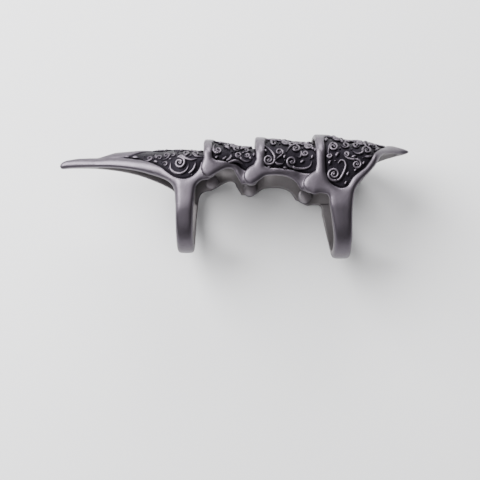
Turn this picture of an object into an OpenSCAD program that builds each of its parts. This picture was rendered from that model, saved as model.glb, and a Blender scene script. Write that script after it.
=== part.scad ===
// Knuckle armour ring: four cast plates, hinged in a row over one finger, and held by two ring bands.
// It lies on its side. X runs along the finger from the claw to the cuff, Y points to the back of
// the finger, and Z runs across it. Every shape is drawn about the finger's axis and moved at the end.

/* [Finger] */
// Inner diameter of the small band, at the claw
claw_bore_d = 17.3; // [16:0.1:17.5]
// Inner diameter of the large band, at the cuff
cuff_bore_d = 19.8; // [19.6:0.1:21]

/* [Lengths] */
// From the claw's tip to the middle of the small band
claw_reach = 26.1; // [23:0.1:32]
// From the middle of the small band to the first hinge
claw_to_hinge = 4.95; // [4.6:0.05:5.6]
// From the first hinge to the second
short_pitch = 8.35; // [8:0.05:10]
// From the second hinge to the third
long_pitch = 11.8; // [11:0.1:14]
// From the third hinge to the middle of the large band
hinge_to_cuff = 7.0; // [6.8:0.1:8]
// From the middle of the large band to the tail's tip
tail_reach = 14.1; // [13:0.1:18]

/* [Heights above the finger's axis] */
// First hinge
hinge_1_y = 5.6; // [5.2:0.1:5.9]
// Second hinge
hinge_2_y = 4.0; // [3.7:0.1:4.4]
// Third hinge
hinge_3_y = 2.5; // [2.2:0.1:2.9]
// Claw's tip
claw_tip_y = 7.5; // [6.8:0.1:8]
// Tail's tip
tail_tip_y = 10.5; // [10.3:0.1:11]

/* [Metal] */
// Thickness of a band
band_t = 1.75; // [1.4:0.05:2.2]
// Width of a band at the palm
band_w = 3.3; // [2.6:0.1:4]
// Thickness of a hinge ear
ear_t = 1.1; // [0.9:0.05:1.2]
// Thickness of the lobe that covers an ear
lobe_t = 1.15; // [1:0.05:1.3]
// Depth of the sunk field inside its raised border
field_drop = 0.5; // [0.3:0.05:0.6]
// Thickness of a plate under its sunk field
field_t = 1.0; // [0.8:0.05:1.2]
// Width of a scroll's wire
wire_w = 0.44; // [0.36:0.02:0.6]

/* [Hinges] */
// Diameter of a rivet's shank
rivet_d = 1.1; // [0.8:0.05:1.3]
// Diameter of a rivet's head, inside the ear
rivet_head_d = 3.0; // [2.4:0.1:3.2]
// Thickness of a rivet's head
rivet_head_t = 0.45; // [0.3:0.05:0.5]
// Side play between an ear and its lobe
side_play = 0.15; // [0.1:0.01:0.2]
// Gap under a collar, where the plate before it slides
slide_gap = 0.4; // [0.3:0.05:0.5]

/* [Hidden] */
$fn = 48;

// Hinge centres, seen from the side
hinge_1 = [claw_to_hinge, hinge_1_y];
hinge_2 = [hinge_1.x + short_pitch, hinge_2_y];
hinge_3 = [hinge_2.x + long_pitch, hinge_3_y];
cuff_x = hinge_3.x + hinge_to_cuff;
claw_tip = [-claw_reach, claw_tip_y];
tail_tip = [cuff_x + tail_reach, tail_tip_y];
claw_r = claw_bore_d / 2;
cuff_r = cuff_bore_d / 2;

// Layers across the finger, each as its distance from the mid-plane
band_step = 0.1;
lobe_out = cuff_r + band_t + band_step;
lobe_in = lobe_out - lobe_t;
ear_out = lobe_in - side_play;
ear_in = ear_out - ear_t;
head_gap = 0.05;
head_out = ear_in - head_gap;
head_in = head_out - rivet_head_t;
rivet_end = lobe_out - 0.35;
rivet_play = 0.04;
lobe_r = 1.62;
ear_radii = [2.1, 1.75, 1.85];
spot_gap = 0.25;
band_overlap = 0.4;

// Crown heights of the four plates
crown_1 = claw_r + 2.45;
crown_2 = claw_r + 4.3;
crown_3 = cuff_r + 3.6;
crown_4 = cuff_r + 4.2;
wall = field_drop + field_t;
thinnest = 0.15;
relief_sink = 0.5;
relief_tops = 0.06;

// Cross-section of a plate: flat sides, on which the row can lie, under a round arch
shoulder_y = hinge_1.y + 2.2;
arch_power = 2.3;
arch_steps = 16;
far_out = 30;

// Where the row's own middle lies, and how high its mid-plane lies above the surface it rests on
row_middle = [(claw_tip.x + tail_tip.x) / 2, (crown_4 - cuff_r - band_t) / 2];

function mix(a, b, t) = a + (b - a) * t;
function through(a, b, c, d, t) =
    0.5 * (2 * b + (c - a) * t + (2 * a - 5 * b + 4 * c - d) * t * t
        + (3 * b - a - 3 * c + d) * t * t * t);
// A smooth line through a few points
function smooth(p, steps = 3) = [
    for (i = [0:len(p) - 2], k = [0:steps - 1])
        through(p[max(i - 1, 0)], p[i], p[i + 1], p[min(i + 2, len(p) - 1)], k / steps),
    p[len(p) - 1]
];

// Rows of a plate's table: [x, where the arch starts, crown height, half width]
function shrunk(rows, by) = [
    for (r = rows) [r[0], r[1] - by, max(r[2] - by, r[1]), max(r[3] - by, thinnest)]
];
function arch_ring(r, low) = [
    [r[0], low, -r[3]],
    for (i = [0:arch_steps])
        let (a = 180 - 180 * i / arch_steps, power = 2 / arch_power)
            [
                r[0],
                r[1] + (r[2] - r[1]) * pow(abs(sin(a)), power),
                r[3] * sign(cos(a)) * pow(abs(cos(a)), power)
            ],
    [r[0], low, r[3]]
];

// Solid arch that runs along the finger, through the rows of a table
module arch(rows, low) {
    m = arch_steps + 3;
    last = len(rows) - 1;
    polyhedron(
        points = [for (r = rows) each arch_ring(r, low)],
        faces = [
            [for (j = [0:m - 1]) j],
            for (i = [0:last - 1], j = [0:m - 1])
                let (a = i * m + j, b = i * m + (j + 1) % m)
                    each [[a, b + m, b], [a, a + m, b + m]],
            [for (j = [m - 1:-1:0]) last * m + j]
        ]
    );
}

// Outline seen from the side, cut through the whole width
module side_prism(points) {
    translate([0, 0, -far_out]) linear_extrude(2 * far_out) polygon(points);
}

// Disc about a hinge, on both sides, between two distances from the mid-plane
module hinge_disc(centre, r, from, to) {
    for (side = [0, 1])
        mirror([0, 0, side])
            translate([centre.x, centre.y, from]) cylinder(h = to - from, r = r);
}

// Bore along the finger
module finger_bore(r, from, to) {
    translate([from, 0, 0]) rotate([0, 90, 0]) cylinder(h = to - from, r = r, $fn = 96);
}

// Full ring about the finger, with round outer edges
module band(middle, r) {
    round_r = 0.7;
    half = band_w / 2;
    profile = [
        [r - band_overlap, -half], [r - band_overlap, half],
        for (a = [0:45:90])
            [r + band_t - round_r + round_r * sin(a), half - round_r + round_r * cos(a)],
        for (a = [0:45:90])
            [r + band_t - round_r + round_r * cos(a), round_r - half - round_r * sin(a)]
    ];
    translate([middle, 0, 0]) rotate([0, 90, 0]) rotate_extrude($fn = 48) polygon(profile);
}

// Wider stretch of a band where it flows into its plate, cut to a side outline
module band_root(points, r) {
    intersection() {
        side_prism(points);
        finger_bore(r + band_t - 0.03, points[0].x - 9, points[0].x + 14);
    }
}

// What lies at x in one column of a plate's table, and how fast that changes along the finger
function column_at(rows, x, n) = lookup(x, [for (r = rows) [r[0], r[n]]]);
function slope_at(rows, x, n) = column_at(rows, x + 0.5, n) - column_at(rows, x - 0.5, n);
function unit(v) = v / norm(v);

// Puts its children flat on a plate's outer surface, where the side view shows x and y
module on_arch(rows, x, y) {
    base = column_at(rows, x, 1);
    height = column_at(rows, x, 2) - base;
    half = column_at(rows, x, 3);
    rise = min(max((y - base) / height, 0.001), 0.999);
    reach = pow(1 - pow(rise, arch_power), 1 / arch_power);
    up = pow(rise, arch_power - 1) / height;
    out = pow(reach, arch_power - 1) / half;
    lift = mix(slope_at(rows, x, 1), slope_at(rows, x, 2), rise);
    normal = unit([-up * lift - out * reach * slope_at(rows, x, 3), up, out]);
    along = unit([1, 0, 0] - normal.x * normal);
    across = cross(normal, along);
    for (side = [0, 1])
        mirror([0, 0, side])
            translate([x, base + height * rise, half * reach])
                multmatrix([for (i = [0:2]) [along[i], across[i], normal[i], 0]])
                    translate([0, 0, -field_drop - relief_sink])
                        linear_extrude(field_drop + relief_sink - relief_tops) children();
}

// One volute: [x, y, radius, start angle, turns], negative turns wind the other way
module volute(rows, row) {
    steps = ceil(abs(row[4]) * 8);
    wire = min(wire_w, row[2] * 0.4);
    arms = [
        for (side = [-1, 1])
            [
                for (i = [0:steps])
                    let (t = i / steps, a = row[3] + 360 * row[4] * t, r = row[2] * (1 - 0.75 * t),
                        edge = r + side * wire * (0.45 + 0.1 * sin(180 * t)))
                        [edge * cos(a), edge * sin(a)]
            ]
    ];
    on_arch(rows, row[0], row[1])
        polygon(concat(arms[0], [for (i = [steps:-1:0]) arms[1][i]]));
}

// One leaf: [x, y, length, direction, bow, width], pointed at both ends and bowed sideways
module leaf(rows, row) {
    arms = [
        for (side = [-1, 1])
            [
                for (i = [-2:2])
                    let (t = i / 2)
                        [row[2] / 2 * t, row[4] * (1 - t * t) + side * row[5] / 2 * (1.1 - t * t)]
            ]
    ];
    on_arch(rows, row[0], row[1])
        rotate(row[3]) polygon(concat(arms[0], [for (i = [4:-1:0]) arms[1][i]]));
}

// Scrollwork of one plate
module relief(rows, volutes, leaves) {
    for (row = volutes) volute(rows, row);
    for (row = leaves) leaf(rows, row);
}

// Slice across the finger, somewhat narrower than a band
module slice(middle) {
    thick = band_w - 0.4;
    translate([middle - thick / 2, -far_out, -far_out]) cube([thick, 2 * far_out, 2 * far_out]);
}

// Plate: an arched shell with a sunk field, cut to its side outline. It is solid above its band.
module plate(outer, inner, low, outline, window, band_at = []) {
    intersection() {
        difference() {
            arch(outer, low);
            difference() {
                arch(inner, low - 1);
                for (x = band_at) slice(x);
            }
            difference() {
                side_prism(window);
                arch(shrunk(outer, field_drop), low - 2);
            }
        }
        side_prism(outline);
    }
}

// Free space about a hinge for the ears inside, with the rivets' blind holes
module hinge_room(centre, ear_r) {
    hinge_disc(centre, ear_r + spot_gap, ear_in - 1, lobe_in);
    hinge_disc(centre, rivet_d / 2, lobe_in - 0.1, rivet_end);
}

// Running hole in an ear
module ear_hole(centre) {
    hinge_disc(centre, rivet_d / 2 + rivet_play, ear_in - 1, ear_out + 1);
}

// Long claw with the small band
module tip_plate() {
    low = 0.6;
    outer = [
        [claw_tip.x - 0.6, claw_tip.y - 0.2, claw_tip.y + 0.5, 0.5],
        [claw_tip.x + 0.7, claw_tip.y, claw_tip.y + 1.2, 1.0],
        [claw_tip.x * 0.87, claw_tip.y - 0.3, claw_tip.y + 1.7, ear_out * 0.13],
        [claw_tip.x * 0.7, claw_tip.y - 0.7, claw_tip.y + 1.95, ear_out * 0.21],
        [claw_tip.x * 0.57, claw_tip.y - 1.3, crown_1 - 0.6, ear_out * 0.325],
        [claw_tip.x * 0.4, shoulder_y - 2.2, crown_1 - 0.25, ear_out * 0.48],
        [claw_tip.x * 0.24, shoulder_y - 2.2, crown_1, ear_out * 0.67],
        [claw_tip.x * 0.12, shoulder_y - 1.7, crown_1, ear_out * 0.86],
        [-1.2, shoulder_y - 1.1, crown_1 - 0.05, ear_out - 0.15],
        [hinge_1.x - 3.6, shoulder_y - 0.6, crown_1 - 0.3, ear_out],
        [hinge_1.x + 3.5, shoulder_y - 0.6, crown_1 - 0.7, ear_out]
    ];
    inner = [
        for (r = outer)
            if (r[0] > claw_tip.x * 0.75)
                [r[0], r[1], r[2] - wall * 1.1, r[0] < -1.5 ? max(r[3] - wall, 0.6) : ear_in]
    ];
    lower_edge = [
        [claw_tip.x, claw_tip.y], [claw_tip.x + 0.3, claw_tip.y - 0.35],
        [claw_tip.x * 0.91, claw_tip.y - 0.1],
        [claw_tip.x * 0.74, claw_tip.y - 0.1], [claw_tip.x * 0.58, 7.2], [claw_tip.x * 0.46, 6.75],
        [claw_tip.x * 0.36, 6.2], [claw_tip.x * 0.24, 5.15], [-3.8, 4.05], [-2.6, 2.9], [-2.05, 1.6]
    ];
    outline = concat(
        smooth(lower_edge),
        [[-1.9, 0], [2.1, 0]],
        smooth([[2.1, 0.8], [2.35, 2.2], [2.9, 3.05], [hinge_1.x - 1.3, hinge_1.y - 2.1]]),
        [[hinge_1.x, hinge_1.y - 1.9], [hinge_1.x + 1.9, hinge_1.y]],
        [[hinge_1.x + 0.5, hinge_1.y + 2], [hinge_1.x + 0.4, far_out], [claw_tip.x, far_out]]
    );
    window = concat(
        smooth([
            [claw_tip.x * 0.69, 9.75], [-15, 9.35], [-12, 8.95], [-8.1, 8.1], [-5.2, 6.75],
            [-3.5, 5.4], [-2.1, 4.4], [-0.4, 3.85], [0.9, 4.05], [2, 4.7], [2.9, 5.8], [3.4, 7.2]
        ]),
        [[3.4, far_out], [claw_tip.x * 0.69, far_out]]
    );
    root = [[-2.1, 1.8], [-1.75, -1.5], [-1.65, -5], [1.65, -7.5], [1.85, -3], [2.1, 1.8]];
    volutes = [
        [-0.7, shoulder_y - 1.4, 1.4, 150, -1.2], [claw_tip.x * 0.29, crown_1 - 1.9, 0.6, 0, 1],
        [claw_tip.x * 0.2, crown_1 - 2, 0.7, 180, -1], [claw_tip.x * 0.12, crown_1 - 1.8, 0.7, 0, 1],
        [-1.2, crown_1 - 0.5, 1.1, 90, -1.2]
    ];
    leaves = [
        [1.6, crown_1 - 2.5, 2.8, 10, -0.3, 0.6], [claw_tip.x * 0.4, crown_1 - 1.6, 1.8, -10, 0.1, 0.5],
        [1.9, shoulder_y - 1.4, 2, 70, -0.3, 0.5], [-3.8, shoulder_y - 0.4, 1.6, -20, -0.3, 0.5],
        [1.5, crown_1 - 1, 2, 30, 0.3, 0.5]
    ];
    color("dimgray") difference() {
        union() {
            plate(outer, inner, low, outline, window, [0]);
            relief(outer, volutes, leaves);
            band(0, claw_r);
            band_root(root, claw_r);
            hinge_disc(hinge_1, ear_radii[0], ear_in, ear_out);
        }
        finger_bore(claw_r, -2.3, hinge_1.x + 3);
        ear_hole(hinge_1);
    }
}

// Short plate over the first knuckle
module front_plate() {
    low = 1;
    top = crown_2;
    outer = [
        [hinge_1.x - 2.6, shoulder_y, top, lobe_out],
        [hinge_1.x + 0.7, shoulder_y, top, lobe_out],
        [hinge_1.x + 2.8, shoulder_y - 0.3, top - 0.5, lobe_out - 0.15],
        [hinge_2.x - 2.6, shoulder_y - 0.8, top - 1.1, ear_out + 0.3],
        [hinge_2.x - 1.9, shoulder_y - 1, top - 1.2, ear_out],
        [hinge_2.x + 2.5, shoulder_y - 1, top - 1.5, ear_out]
    ];
    inner = [
        [hinge_1.x - 3, shoulder_y, top - wall, lobe_in],
        [hinge_1.x + 2.5, shoulder_y - 0.1, top - wall - 0.3, lobe_in],
        [hinge_1.x + 4.3, shoulder_y - 0.5, top - wall - 0.8, ear_in + 0.2],
        [hinge_2.x - 2.2, shoulder_y - 1, top - wall - 1.2, ear_in],
        [hinge_2.x + 3, shoulder_y - 1, top - wall - 1.5, ear_in]
    ];
    middle = mix(hinge_1, hinge_2, 0.45);
    outline = concat(
        [[hinge_1.x - 0.85, far_out], [hinge_1.x - 0.9, hinge_1.y + 3]],
        smooth([
            [hinge_1.x - 1.1, hinge_1.y + 2.2], [hinge_1.x - 1.5, hinge_1.y + 1],
            [hinge_1.x - lobe_r, hinge_1.y], [hinge_1.x - 1.1, hinge_1.y - 1.2],
            [hinge_1.x, hinge_1.y - lobe_r], [hinge_1.x + 1.3, hinge_1.y - 1.1],
            middle + [-1.3, 0.05], middle + [0, 0.5],
            middle + [1.1, 0.35], hinge_2 + [-3, 0.5], hinge_2 + [-2.35, -0.5], hinge_2 + [-1.9, -1.3]
        ]),
        [hinge_2 + [0, -1.3], hinge_2 + [1.6, 0], [hinge_2.x + 1.7, far_out]]
    );
    window = concat(
        [[hinge_1.x + 0.5, far_out], [hinge_1.x + 0.5, hinge_1.y + 3]],
        smooth([
            [hinge_1.x + 0.8, hinge_1.y + 2.25], [hinge_1.x + 1.5, hinge_1.y + 1.85], middle + [-0.6, 2.4],
            middle + [0.5, 2.1], hinge_2 + [-2.8, 2.6], hinge_2 + [-1.7, 1.8], hinge_2 + [-0.9, 1.5],
            hinge_2 + [-0.2, 2.2]
        ]),
        [[hinge_2.x + 0.3, hinge_2.y + 4], [hinge_2.x + 0.3, far_out]]
    );
    volutes = [
        [hinge_1.x + 1.85, top - 4.05, 0.65, 0, 1.2], [hinge_1.x + 3.1, top - 1.95, 1, 180, 1.2],
        [hinge_2.x - 2.2, top - 4.55, 0.7, 90, -1.2], [hinge_2.x - 2.6, top - 2.05, 1, 0, -1.2]
    ];
    leaves = [
        [hinge_1.x + 3.4, top - 4.75, 1.7, 55, 0.25, 0.5], [hinge_1.x + 1.4, top - 2.65, 1.2, 60, 0, 0.4],
        [middle.x + 1.6, shoulder_y + 0.1, 2.2, -15, 0.3, 0.55],
        [middle.x + 0.4, top - 3.05, 1.6, -50, 0.25, 0.5],
        [hinge_2.x - 1, shoulder_y - 0.8, 1.4, -60, 0.15, 0.5]
    ];
    color("dimgray") difference() {
        union() {
            plate(outer, inner, low, outline, window);
            relief(outer, volutes, leaves);
            hinge_disc(hinge_2, ear_radii[1], ear_in, ear_out);
        }
        hinge_room(hinge_1, ear_radii[0]);
        ear_hole(hinge_2);
    }
}

// Longer plate over the second knuckle
module rear_plate() {
    low = 0;
    top = crown_3;
    outer = [
        [hinge_2.x - 2.6, shoulder_y - 0.3, top, lobe_out],
        [hinge_2.x + 2.7, shoulder_y - 0.3, top, lobe_out],
        [hinge_2.x + 5, shoulder_y - 0.5, top - 0.3, lobe_out - 0.2],
        [hinge_3.x - 3, shoulder_y - 1, top - 0.65, ear_out + 0.3],
        [hinge_3.x - 2.1, shoulder_y - 1.2, top - 0.8, ear_out],
        [hinge_3.x + 3, shoulder_y - 1.2, top - 1.1, ear_out]
    ];
    inner = [
        [hinge_2.x - 3, shoulder_y - 0.4, crown_2 - 1.2 + slide_gap, lobe_in],
        [hinge_2.x + 2.8, shoulder_y - 0.4, crown_2 - 1.4 + slide_gap, lobe_in],
        [hinge_2.x + 4.8, shoulder_y - 0.7, top - wall - 0.3, ear_in + 0.3],
        [hinge_3.x - 2.4, shoulder_y - 1.2, top - wall - 0.8, ear_in],
        [hinge_3.x + 3.5, shoulder_y - 1.2, top - wall - 1.1, ear_in]
    ];
    middle = mix(hinge_2, hinge_3, 0.45);
    outline = concat(
        [[hinge_2.x + 1, far_out], [hinge_2.x + 1, hinge_2.y + 3.4]],
        smooth([
            hinge_2 + [0.4, 2.5], hinge_2 + [-0.6, 1.9], hinge_2 + [-1.35, 1], hinge_2 + [-1.55, 0],
            hinge_2 + [-1.1, -1.1], hinge_2 + [0, -1.55], hinge_2 + [1.3, -0.9], hinge_2 + [2.1, -0.3],
            middle + [-2.2, 0.95], middle + [0, 1.1], middle + [1.8, 0.85], hinge_3 + [-3.5, 1.1],
            hinge_3 + [-2.7, 0.3], hinge_3 + [-2, -0.9]
        ]),
        [hinge_3 + [0, -1.5], hinge_3 + [1.8, 0], [hinge_3.x + 1.9, far_out]]
    );
    window = concat(
        [[hinge_2.x + 2.6, far_out], [hinge_2.x + 2.6, hinge_2.y + 3]],
        smooth([
            hinge_2 + [2.75, 2.3], hinge_2 + [3.6, 1.95], middle + [0.4, 2.5], middle + [3, 2.25],
            hinge_3 + [-1.5, 2.55], hinge_3 + [-0.3, 2.4]
        ]),
        [[hinge_3.x + 0.4, hinge_3.y + 3.5], [hinge_3.x + 0.4, far_out]]
    );
    volutes = [
        [hinge_2.x + long_pitch * 0.305, shoulder_y - 0.4, 1.15, 30, -1.4],
        [hinge_2.x + long_pitch * 0.475, shoulder_y + 1.2, 0.8, -30, 1.2],
        [hinge_2.x + long_pitch * 0.7, shoulder_y - 0.6, 1.15, 200, 1.3],
        [hinge_2.x + long_pitch * 0.88, shoulder_y + 1.2, 0.8, 120, -1.2],
        [hinge_2.x + long_pitch * 0.42, top - 1.5, 1.2, 180, 1.2],
        [hinge_2.x + long_pitch * 0.74, top - 1.9, 1.2, 0, -1.2]
    ];
    leaves = [
        [hinge_2.x + long_pitch * 0.31, top - 3.6, 2, -60, -0.2, 0.45],
        [middle.x + 1, shoulder_y + 0.4, 1.4, 60, 0.2, 0.45],
        [middle.x + 1.4, top - 3.2, 1.7, 10, 0.3, 0.5], [hinge_3.x - 1.2, shoulder_y - 1.2, 2, 25, 0.25, 0.5],
        [hinge_3.x - 3, top - 3.1, 1.2, -50, 0.2, 0.45]
    ];
    color("dimgray") difference() {
        union() {
            plate(outer, inner, low, outline, window);
            relief(outer, volutes, leaves);
            hinge_disc(hinge_3, ear_radii[2], ear_in, ear_out);
        }
        hinge_room(hinge_2, ear_radii[1]);
        ear_hole(hinge_3);
    }
}

// Tallest plate with the short tail and the large band
module base_plate() {
    low = -1.2;
    outer = [
        [hinge_3.x - 2.6, shoulder_y - 0.4, crown_4 - 0.2, lobe_out],
        [hinge_3.x + 2.3, shoulder_y - 0.4, crown_4, lobe_out],
        [hinge_3.x + 5.2, shoulder_y - 0.4, crown_4 - 0.5, lobe_out],
        [cuff_x + 0.5, shoulder_y - 0.6, cuff_r + 3.1, lobe_out],
        [cuff_x + 3, shoulder_y - 1, cuff_r + 2.7, lobe_out - 0.1],
        [cuff_x + tail_reach * 0.42, shoulder_y - 1.8, cuff_r + 2.3, lobe_out - 0.5],
        [cuff_x + tail_reach * 0.58, shoulder_y - 2.8, cuff_r + 2, lobe_out - 1.9],
        [cuff_x + tail_reach * 0.75, shoulder_y - 3.6, cuff_r + 2.1, lobe_out * 0.55],
        [tail_tip.x - 1.6, shoulder_y - 3.6, tail_tip.y + 1, lobe_out * 0.3],
        [tail_tip.x + 0.3, shoulder_y - 3.4, tail_tip.y + 0.3, 1]
    ];
    inner = [
        [hinge_3.x - 3, shoulder_y - 0.5, crown_3 - 0.9 + slide_gap, lobe_in],
        [hinge_3.x + 3, shoulder_y - 0.5, crown_3 - 1.1 + slide_gap, lobe_in],
        [cuff_x - 1.5, shoulder_y - 0.6, cuff_r + 1.6, cuff_r + 0.35],
        [cuff_x + 3, shoulder_y - 1.1, cuff_r + 1.1, cuff_r + 0.25],
        [cuff_x + tail_reach * 0.45, shoulder_y - 2, cuff_r + 0.4, cuff_r - 0.3],
        [cuff_x + tail_reach * 0.6, shoulder_y - 2.9, cuff_r - 0.2, cuff_r - 2]
    ];
    outline = concat(
        [[hinge_3.x + 1.2, far_out], [hinge_3.x + 1.15, hinge_3.y + 3.9]],
        smooth([
            hinge_3 + [0.8, 2.8], hinge_3 + [-0.2, 2.2], hinge_3 + [-1.1, 1.4], hinge_3 + [-1.6, 0.2],
            hinge_3 + [-1.2, -1], hinge_3 + [-0.2, -1.6], hinge_3 + [0.6, -1.95], hinge_3 + [2, -1.75],
            [cuff_x - 3.5, 0.3]
        ]),
        [[cuff_x - 3.35, low - 2], [cuff_x + 1.35, low - 2]],
        smooth([
            [cuff_x + 1.5, 0.4], [cuff_x + 2, 1.9], [cuff_x + 2.9, 3.2], [cuff_x + 4.4, 4.7],
            [cuff_x + 6, 6.6], [cuff_x + 7.2, 8.1], [cuff_x + 8.2, 9], [cuff_x + 9.8, 9.45],
            [tail_tip.x - 1.2, tail_tip.y - 0.4], tail_tip
        ]),
        [[tail_tip.x, far_out]]
    );
    window = concat(
        [[hinge_3.x + 2.7, far_out], [hinge_3.x + 2.7, hinge_3.y + 4.5]],
        smooth([
            hinge_3 + [3, 2.4], hinge_3 + [3.8, 0.6], [cuff_x - 1.8, 2.1], [cuff_x - 0.8, 1.85],
            [cuff_x + 0.3, 2.35], [cuff_x + 1.3, 3.9], [cuff_x + 2.4, 4.9], [cuff_x + 3.8, 5.95],
            [cuff_x + 4.8, 7.3], [cuff_x + 6, cuff_r - 0.6], [cuff_x + 8.6, cuff_r + 1.25]
        ]),
        [[cuff_x + 8.8, far_out]]
    );
    root = [
        [cuff_x - 3.45, low + 1.6], [cuff_x - 2.8, -3.5], [cuff_x - 2, -8.5],
        [cuff_x + 1.55, -8.5], [cuff_x + 1.4, -3.5], [cuff_x + 1.5, low + 1.6]
    ];
    volutes = [
        [cuff_x - 2.4, 4.6, 1.3, 60, 1.5], [cuff_x + 2, 6.6, 0.95, 150, -1.4],
        [cuff_x + 3.6, cuff_r - 0.5, 0.9, 0, 1.2], [cuff_x - 2.4, crown_4 - 3.1, 0.9, 90, -1.2],
        [cuff_x + 0.5, cuff_r + 2, 1.1, 180, 1.2], [cuff_x + 4.6, cuff_r + 1.6, 0.9, 0, -1.2]
    ];
    leaves = [
        [cuff_x - 0.3, 5.8, 2.4, 80, -0.35, 0.45], [cuff_x + 0.6, cuff_r - 1.6, 1.6, 70, 0.2, 0.5],
        [cuff_x - 3.2, cuff_r - 2.3, 1.4, 70, 0.2, 0.5], [cuff_x - 3, cuff_r - 0.3, 1.6, 40, 0.2, 0.5],
        [cuff_x + 2, cuff_r - 1.4, 1.8, -20, 0.25, 0.5],
        [cuff_x + tail_reach * 0.49, cuff_r + 1.5, 1.6, 0, 0.1, 0.5]
    ];
    color("dimgray") difference() {
        union() {
            plate(outer, inner, low, outline, window, [cuff_x]);
            relief(outer, volutes, leaves);
            band(cuff_x, cuff_r);
            band_root(root, cuff_r);
        }
        finger_bore(cuff_r, cuff_x - 3.6, tail_tip.x + 1);
        hinge_room(hinge_3, ear_radii[2]);
    }
}

// Rivet: fixed in a lobe, with a head inside the ear that turns on its shank
module rivet(centre, side) {
    color("slategray")
        mirror([0, 0, side])
            translate([centre.x, centre.y, head_in]) {
                cylinder(h = rivet_end - head_in, r = rivet_d / 2);
                cylinder(h = rivet_head_t, r = rivet_head_d / 2);
            }
}

// Brings the drawing to where the row rests: on its far side, about its own middle
module laid() {
    translate([-row_middle.x, -row_middle.y, lobe_out]) children();
}

laid() tip_plate();
laid() front_plate();
laid() rear_plate();
laid() base_plate();
laid() rivet(hinge_1, 0);  // near_rivet_1
laid() rivet(hinge_2, 0);  // near_rivet_2
laid() rivet(hinge_3, 0);  // near_rivet_3
laid() rivet(hinge_1, 1);  // far_rivet_1
laid() rivet(hinge_2, 1);  // far_rivet_2
laid() rivet(hinge_3, 1);  // far_rivet_3
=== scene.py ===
"""Knuckle armour ring, lying on its side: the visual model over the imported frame.

Each cast plate is worked out as a field of distances from its own tables, in millimetres in the
drawing's frame, and turned into a mesh once. The scrollwork is wire that follows the plate's surface.
Everything is put in the row's frame, in metres, as it is made.
"""

import logging
import math
from dataclasses import dataclass, field
from enum import Enum
from typing import Any, Iterable, Sequence

import bmesh
import bpy
import numpy as np
import openvdb
from mathutils import Matrix, Vector

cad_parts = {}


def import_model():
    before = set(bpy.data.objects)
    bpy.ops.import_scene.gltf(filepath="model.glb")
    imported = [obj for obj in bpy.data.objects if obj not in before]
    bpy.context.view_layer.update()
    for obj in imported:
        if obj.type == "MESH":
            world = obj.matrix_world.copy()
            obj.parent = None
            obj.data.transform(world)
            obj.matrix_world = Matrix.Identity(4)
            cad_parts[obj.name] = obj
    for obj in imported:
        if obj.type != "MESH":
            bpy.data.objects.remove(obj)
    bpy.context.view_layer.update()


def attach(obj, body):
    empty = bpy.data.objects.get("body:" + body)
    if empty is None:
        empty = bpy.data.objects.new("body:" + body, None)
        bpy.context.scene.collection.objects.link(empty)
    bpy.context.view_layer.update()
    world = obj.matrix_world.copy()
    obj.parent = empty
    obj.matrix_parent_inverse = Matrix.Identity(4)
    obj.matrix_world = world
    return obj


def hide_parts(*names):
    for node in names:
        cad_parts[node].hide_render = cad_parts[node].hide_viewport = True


LOG = logging.getLogger("armour_ring")

Point = tuple[float, float]
Place = tuple[float, float, float]
Row = tuple[float, float, float, float]
Colour = tuple[float, float, float, float]

MM = 0.001  # a millimetre in metres
MERGED = 1e-8  # points closer than this many metres are one
FAR = 30.0  # past every part of a plate
REACH = 3.0  # distances from the metal are kept up to this one
ROW_MIDDLE = (10.05, 1.225)  # the row's middle in the side drawing
SIDE_OUT = 11.75  # from the finger's middle to the flat faces that the ring rests on

CLAW_R = 8.65  # inside of the small band
CUFF_R = 9.9  # inside of the large band
CUFF_X = 32.1  # middle of the large band along the finger
BAND_T = 1.75  # thickness of both bands
WALL = 1.5  # thickness of the plates
LOBE_OUT, LOBE_IN = SIDE_OUT, 10.6  # faces of the side lobes
EAR_OUT, EAR_IN = 10.45, 9.35  # faces of the ears inside them
EARS_FROM = 8.0  # everything that is drilled for a rivet lies past this, across the finger
EAR_RADII = (2.1, 1.75, 1.85)  # the solids' ears, which the lobes leave room for
EAR_SLACK = 0.25  # free room round an ear
RIVET_HOLE = 0.59  # radius of the holes through the ears
HINGES: tuple[Point, ...] = ((4.95, 5.6), (13.3, 4.0), (25.1, 2.5))
SHOULDER = HINGES[0][1] + 2.2  # where the flat sides give way to the arch
CROWNS = (CLAW_R + 2.45, CLAW_R + 4.3, CUFF_R + 3.6, CUFF_R + 4.2)  # from the claw to the tail

FIELD_DROP = 0.5  # depth of the sunk fields under the rims' crests
BOLD = 1.42  # a wire's thickness over the one in its table
WIRE_PROUD = 0.45  # share of its radius by which a wire's middle stands over the field
BEAD_PROUD = 0.3  # the same for a bead
EDGE_CLEAR = 0.4  # least distance from a scroll to the plate's edge
FIELD_SLACK = 0.1  # how far past the field's edge a point of a scroll still counts as in it
FIELD_SHARE = 0.6  # more of a scroll's points than this have to be in the field
MIDDLE = 0.02  # a scroll closer to the crown's middle line than this isn't mirrored
WIRE_SIDES, RIVET_SIDES, BEAD_DETAIL = 10, 32, 2


def placed(points: np.ndarray) -> np.ndarray:
    """Drawing millimetres to the row's frame in metres."""
    return (points + np.array([-ROW_MIDDLE[0], -ROW_MIDDLE[1], SIDE_OUT])) * MM


def between(a: Point, b: Point, share: float) -> Point:
    """The point a share of the way from a to b."""
    return (a[0] + (b[0] - a[0]) * share, a[1] + (b[1] - a[1]) * share)


def around(a: Point, *steps: Point) -> list[Point]:
    """Points that stand off one point by each step."""
    return [(a[0] + dx, a[1] + dy) for dx, dy in steps]


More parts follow.
